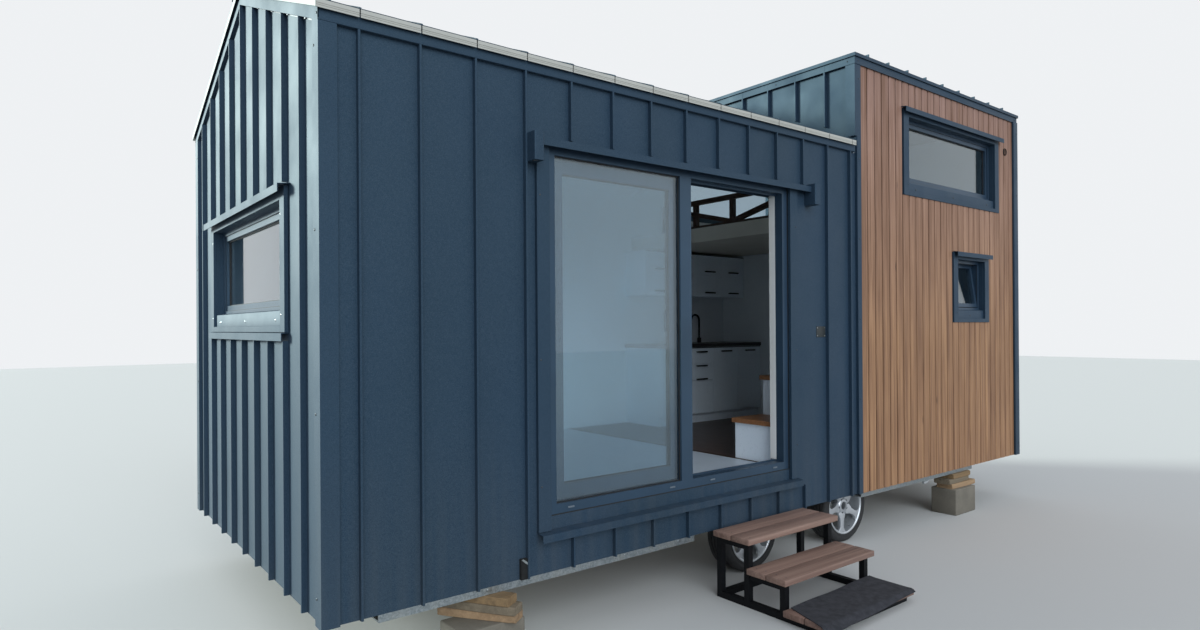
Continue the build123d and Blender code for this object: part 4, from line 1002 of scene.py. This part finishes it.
def rounded_boards():
    """The three treads, each of two boards with round edges."""
    lo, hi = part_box("treads")
    shape, screw = Shape(), Shape()
    going, depth, gap, thick, rise = 0.28, 0.30, 0.008, 0.037, 0.1815
    board = (depth - gap) / 2
    for n in range(3):
        top = hi.z - n * rise
        back = hi.y - n * going
        for y0 in (back - board, back - depth):
            shape.block((lo.x, y0, top - thick), (hi.x, y0 + board, top), 0.0035)
            for x in (lo.x + 0.055, hi.x - 0.055):
                for y in (y0 + board * 0.25, y0 + board * 0.75):
                    screw.dome((x, y, top - 0.0005), (0, 0, 1), 0.0045, 0.0015)
    piece = shape.finish("tread_boards", deck_board, "tread_timber")
    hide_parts("treads")
    screw.finish("tread_screws", dark_steel, "black_metal")


rounded_boards()


def felt_mat():
    """A thin felt mat that hangs a little over the lowest tread's front and left edges."""
    lo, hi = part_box("step_mat")
    columns, rows = 60, 24
    thickness = 0.005
    shape = Shape()
    corners = [Vector((left_x + x, front_y - y, 0)) for x, y in
               ((2.462, 0.949), (3.447, 0.918), (3.449, 0.590), (2.574, 0.612))]
    edge_y = low("treads").y
    grid = []
    for j in range(rows + 1):
        row = []
        for i in range(columns + 1):
            u, v = i / columns, j / rows
            near = corners[0].lerp(corners[1], u)
            far = corners[3].lerp(corners[2], u)
            point = near.lerp(far, v)
            over = max(0.0, edge_y + 0.004 - point.y)
            side = max(0.0, low("treads").x - point.x)
            drop = 0.75 * over + 0.35 * side * (0.3 + over / 0.04)
            wave = noise.noise(Vector((point.x * 4.5, point.y * 7, 1.3))) * 0.0035
            lift = max(0.0, wave) + max(0.0, abs(v - 0.5) - 0.36) * 0.02 * (1 + math.sin(u * 9))
            point.z = max(lo.z + 0.0012 + lift - drop, 0.002)
            row.append(point)
        grid.append(row)
    top = [[shape.mesh.verts.new(p + Vector((0, 0, thickness))) for p in row] for row in grid]
    under = [[shape.mesh.verts.new(p) for p in row] for row in grid]
    for j in range(rows):
        for i in range(columns):
            shape.mesh.faces.new((top[j][i], top[j][i + 1], top[j + 1][i + 1], top[j + 1][i]))
            shape.mesh.faces.new((under[j][i], under[j + 1][i], under[j + 1][i + 1],
                                  under[j][i + 1]))
    rim = ([(0, i) for i in range(columns)] + [(j, columns) for j in range(rows)]
           + [(rows, i) for i in range(columns, 0, -1)] + [(j, 0) for j in range(rows, 0, -1)])
    for (a, b), (c, d) in zip(rim, rim[1:] + rim[:1]):
        shape.mesh.faces.new((top[a][b], under[a][b], under[c][d], top[c][d]))
    piece = shape.finish("mat_felt", felt, "felt_mat")
    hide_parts("step_mat")


felt_mat()


# Supports: sawn planks on concrete blocks

def sawn_plank(shape, lo, hi, turn):
    """A plank with eased edges, a bow, and splits in its ends."""
    length, width, thick = hi - lo
    middle = (lo + hi) / 2
    split_reach, split_width, split_depth = 0.07, 0.0025, 0.8 * thick
    hair = 0.0002
    cuts = sorted(random.uniform(-0.38, 0.38) * width for _ in range(2))
    rings = []
    for n in range(13):
        share = n / 12
        end = min(share, 1 - share) * length
        split = max(0.0, 1 - end / split_reach)
        half_gap = split_width * split + hair
        bow = 0.0012 * math.sin(share * math.pi)
        ease = 0.004 + 0.003 * max(0.0, 1 - end / 0.012)
        outline = [(-width / 2, -thick / 2 + ease), (-width / 2 + ease, -thick / 2),
                   (width / 2 - ease, -thick / 2), (width / 2, -thick / 2 + ease),
                   (width / 2, thick / 2 - ease), (width / 2 - ease, thick / 2)]
        for cut in cuts[::-1]:
            outline += [(cut + half_gap, thick / 2),
                        (cut, thick / 2 - split_depth * split - hair),
                        (cut - half_gap, thick / 2)]
        outline += [(-width / 2 + ease, thick / 2), (-width / 2, thick / 2 - ease)]
        rings.append([middle + turn @ Vector(((share - 0.5) * length, y, z - bow))
                      for y, z in outline])
    shape.loft(rings)


def support_stacks():
    """Three planks on each block, each a little askew; the front left ones lie slantwise."""
    layers = [(pine, "stack_planks_low"), (pine_grey, "stack_planks_middle"),
              (pine_tan, "stack_planks_top")]
    slanted = [((0.951, -0.104), 125.5, 0.45), ((0.935, -0.119), 122.8, 0.42),
               ((0.912, -0.096), 121.6, 0.38)]
    shapes = [Shape() for _ in layers]
    boxes = joined_boxes("support_planks")
    heights = sorted({round(lo.z, 3) for lo, hi in boxes})
    for lo, hi in boxes:
        layer = min(len(layers) - 1, heights.index(round(lo.z, 3)))
        turn = Matrix.Rotation(random.uniform(-0.035, 0.035), 3, "Z")
        if lo.x < left_x + 1.5 and lo.y < middle_y:
            (x, y), angle, length = slanted[layer]
            turn = Matrix.Rotation(math.radians(angle), 3, "Z")
            middle = Vector((left_x + x, front_y + y, (lo.z + hi.z) / 2))
            middle += turn @ Vector((length / 2, -0.052, 0))
            half = Vector((length / 2, 0.052, (hi.z - lo.z) / 2))
            lo, hi = middle - half, middle + half
        sawn_plank(shapes[layer], lo, hi, turn)
    for shape, (material, name) in zip(shapes, layers):
        piece = shape.finish(name, material, "deck_timber")
        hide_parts("support_planks")
    blocks = Shape()
    for lo, hi in joined_boxes("support_blocks"):
        for vert in blocks.block(lo, hi, 0.009, 3):
            if vert.co.z > lo.z + 0.002:
                inside = ((lo + hi) / 2 - vert.co).normalized()
                vert.co += inside * abs(noise.noise(vert.co * 23)) * 0.002
    piece = blocks.finish("stack_blocks", concrete, "concrete")
    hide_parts("support_blocks")


random.seed(11)
support_stacks()


# Door: seals round the glass, caps over the drain slots, the white inner jamb

def pane_seal(shape, node, start, end):
    """A thin ring along a pane's edges, between two depths."""
    lo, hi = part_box(node)
    for x0, x1, z0, z1 in bars(lo.x, hi.x, lo.z, hi.z, 0.006):
        shape.prism([(x0, z0), (x1, z0), (x1, z1), (x0, z1)], 1, start, end)


def door_details():
    seals, sash_seals, caps, liner = Shape(), Shape(), Shape(), Shape()
    pane_y = low("door_fixed_pane").y
    pane_seal(seals, "door_fixed_pane", pane_y - 0.006, pane_y)
    seals.finish("door_seals", black_seal, "frame_dark")
    sash_lo, sash_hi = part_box("sash_pane")
    for start, end in ((sash_lo.y - 0.005, sash_lo.y), (sash_hi.y, sash_hi.y + 0.005)):
        pane_seal(sash_seals, "sash_pane", start, end)
    sash_seals.finish("sash_seals", black_seal, "frame_dark", "sash")

    lo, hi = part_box("door_frame")
    for x in (lo.x + 0.16, lo.x + 0.96, lo.x + 1.33, hi.x - 0.16):
        caps.block((x - 0.022, lo.y - 0.004, lo.z + 0.026),
                   (x + 0.022, lo.y + 0.001, lo.z + 0.036), 0.0015)
    caps.finish("drain_caps", plain("cap_grey", "#66717b", "#59636c", 0.4), "frame_dark")

    jamb_x = hi.x - 0.06
    liner.block((jamb_x - 0.0015, lo.y + 0.066, lo.z + 0.07), (jamb_x, hi.y, hi.z - 0.062))
    liner.block((jamb_x, hi.y, lo.z + 0.012), (hi.x, hi.y + 0.0015, hi.z))
    liner.finish("jamb_liner", frame_white, "white_units")


door_details()


# Kitchen: bar handles, black strips painted as the shade in the units' top gaps, and the strip
# where the two floors meet

def bar_handle(shape, x, y, z, wide=0.16):
    """A flat bar on two short posts."""
    shape.block((x - wide / 2, y - 0.030, z - 0.0075), (x + wide / 2, y - 0.019, z + 0.0075),
                0.002)
    for post in (x - wide / 2 + 0.012, x + wide / 2 - 0.012):
        shape.block((post - 0.004, y - 0.020, z - 0.004), (post + 0.004, y, z + 0.004))


def kitchen_details():
    handles, gaps, strip = Shape(), Shape(), Shape()
    units_lo, units_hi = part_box("kitchen_units")
    walls_lo, walls_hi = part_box("wall_units")
    columns, drawer_column = 4, 1
    module = (units_hi.x - units_lo.x) / columns
    foot = units_lo.z + 0.1
    for n in range(columns):
        x = units_lo.x + (n + 0.5) * module
        for share in (0.52, 0.72, 0.93) if n == drawer_column else (0.93,):
            bar_handle(handles, x, units_lo.y, foot + (units_hi.z - foot) * share)
        for rise in (0.045, 0.285):
            bar_handle(handles, x, walls_lo.y, walls_lo.z + rise)
    handles.finish("unit_handles", black_paint, "black_metal")

    # Black strips along the top of the unit fronts: painted shade in the gaps above them.
    for lo, hi, over in ((walls_lo, walls_hi, 0.002), (units_lo, units_hi, 0.003)):
        gaps.block((lo.x, lo.y - 0.001, hi.z - 0.012), (hi.x, lo.y + 0.004, hi.z - over))
    gaps.finish("unit_gap_painted_shade", black_seal, "black_metal")

    edge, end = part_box("floor_kitchen")
    strip.prism([(edge.x - 0.022, floor_z - 0.001), (edge.x + 0.022, floor_z - 0.001),
                 (edge.x + 0.014, floor_z + 0.0035), (edge.x - 0.014, floor_z + 0.0035)],
                1, edge.y + 0.03, end.y)
    strip.finish("floor_strip", guard_wood, "oak_tops")


kitchen_details()


# Stage, lights and camera

def seen_rays(tree):
    """1 for rays from the camera, also by way of metal or glass, and 0 for other light."""
    rays = tree.nodes.new("ShaderNodeLightPath").outputs
    bent = add_node(tree, "ShaderNodeMath", {
        0: rays["Is Glossy Ray"], 1: rays["Is Transmission Ray"]}, operation="MAXIMUM")
    return add_node(tree, "ShaderNodeMath", {0: rays["Is Camera Ray"], 1: bent},
                    operation="MAXIMUM")


def stage():
    """A wide pale floor that throws less light back than it shows."""
    size = 40
    data = bpy.data.meshes.new("floor")
    data.from_pydata([(-size, -size, 0), (size, -size, 0), (size, size, 0), (-size, size, 0)],
                     [], [(0, 1, 2, 3)])
    ground = bpy.data.objects.new("floor", data)
    bpy.context.scene.collection.objects.link(ground)
    finish = Finish("stage_floor", "#c9c9c7", 0.8)
    finish.colour(finish.mix(seen_rays(finish.tree), "#77787a", "#c9c9c7"))
    data.materials.append(finish.material)


def studio():
    """A key from the left and behind, a soft fill from the front, and a pale room all round."""
    world = bpy.data.worlds.new("room")
    bpy.context.scene.world = world
    world.use_nodes = True
    tree = world.node_tree
    light = tree.nodes["Background"]
    light.inputs["Color"].default_value = (0.86, 0.92, 1.0, 1)
    light.inputs["Strength"].default_value = 0.65
    shown = add_node(tree, "ShaderNodeBackground", {"Color": (0.86, 0.88, 0.90, 1)})
    mixed = add_node(tree, "ShaderNodeMixShader", {0: seen_rays(tree), 1: light.outputs[0],
                                                   2: shown})
    tree.links.new(mixed, tree.nodes["World Output"].inputs["Surface"])
    lamp("key", 4.7, 16, (0.88, 1.0, 0.95), (0.64, -0.73, -0.24))
    lamp("fill", 1.95, 50, (0.85, 0.93, 1.0), (0.28, 0.88, -0.38))


def lamp(name, energy, spread, colour, direction):
    """A distant soft lamp that shines along a direction."""
    light = bpy.data.lights.new(name, "SUN")
    light.energy = energy
    light.angle = math.radians(spread)
    light.color = colour
    made = bpy.data.objects.new(name, light)
    made.rotation_euler = Vector(direction).to_track_quat("-Z", "Y").to_euler()
    bpy.context.scene.collection.objects.link(made)


def camera():
    """The photograph's view, from its vanishing points in a frame 1200 by 630 pixels."""
    width, height, focal = 1200, 630, 738
    centre = Vector((600, 326))            # principal point
    vanish_x, vanish_y = Vector((1538, 321)), Vector((17.6, 331))
    along_x = Vector((*(vanish_x - centre), focal)).normalized()
    along_y = Vector((*(vanish_y - centre), focal))
    along_y = (along_y - along_x * along_y.dot(along_x)).normalized()
    right, down, ahead = Matrix((along_x, along_y, along_x.cross(along_y))).transposed()
    data = bpy.data.cameras.new("view")
    data.sensor_width = 36
    data.lens = focal / width * data.sensor_width
    data.shift_x = (width / 2 - centre.x) / width
    data.shift_y = (centre.y - height / 2) / width
    view = bpy.data.objects.new("view", data)
    turn = Matrix((right, -down, -ahead)).transposed().to_4x4()
    view.matrix_world = Matrix.Translation((left_x - 1.0665, front_y - 3.398, 1.779)) @ turn
    bpy.context.scene.collection.objects.link(view)
    bpy.context.scene.camera = view


stage()
studio()
camera()
bpy.context.scene.view_settings.view_transform = "Standard"
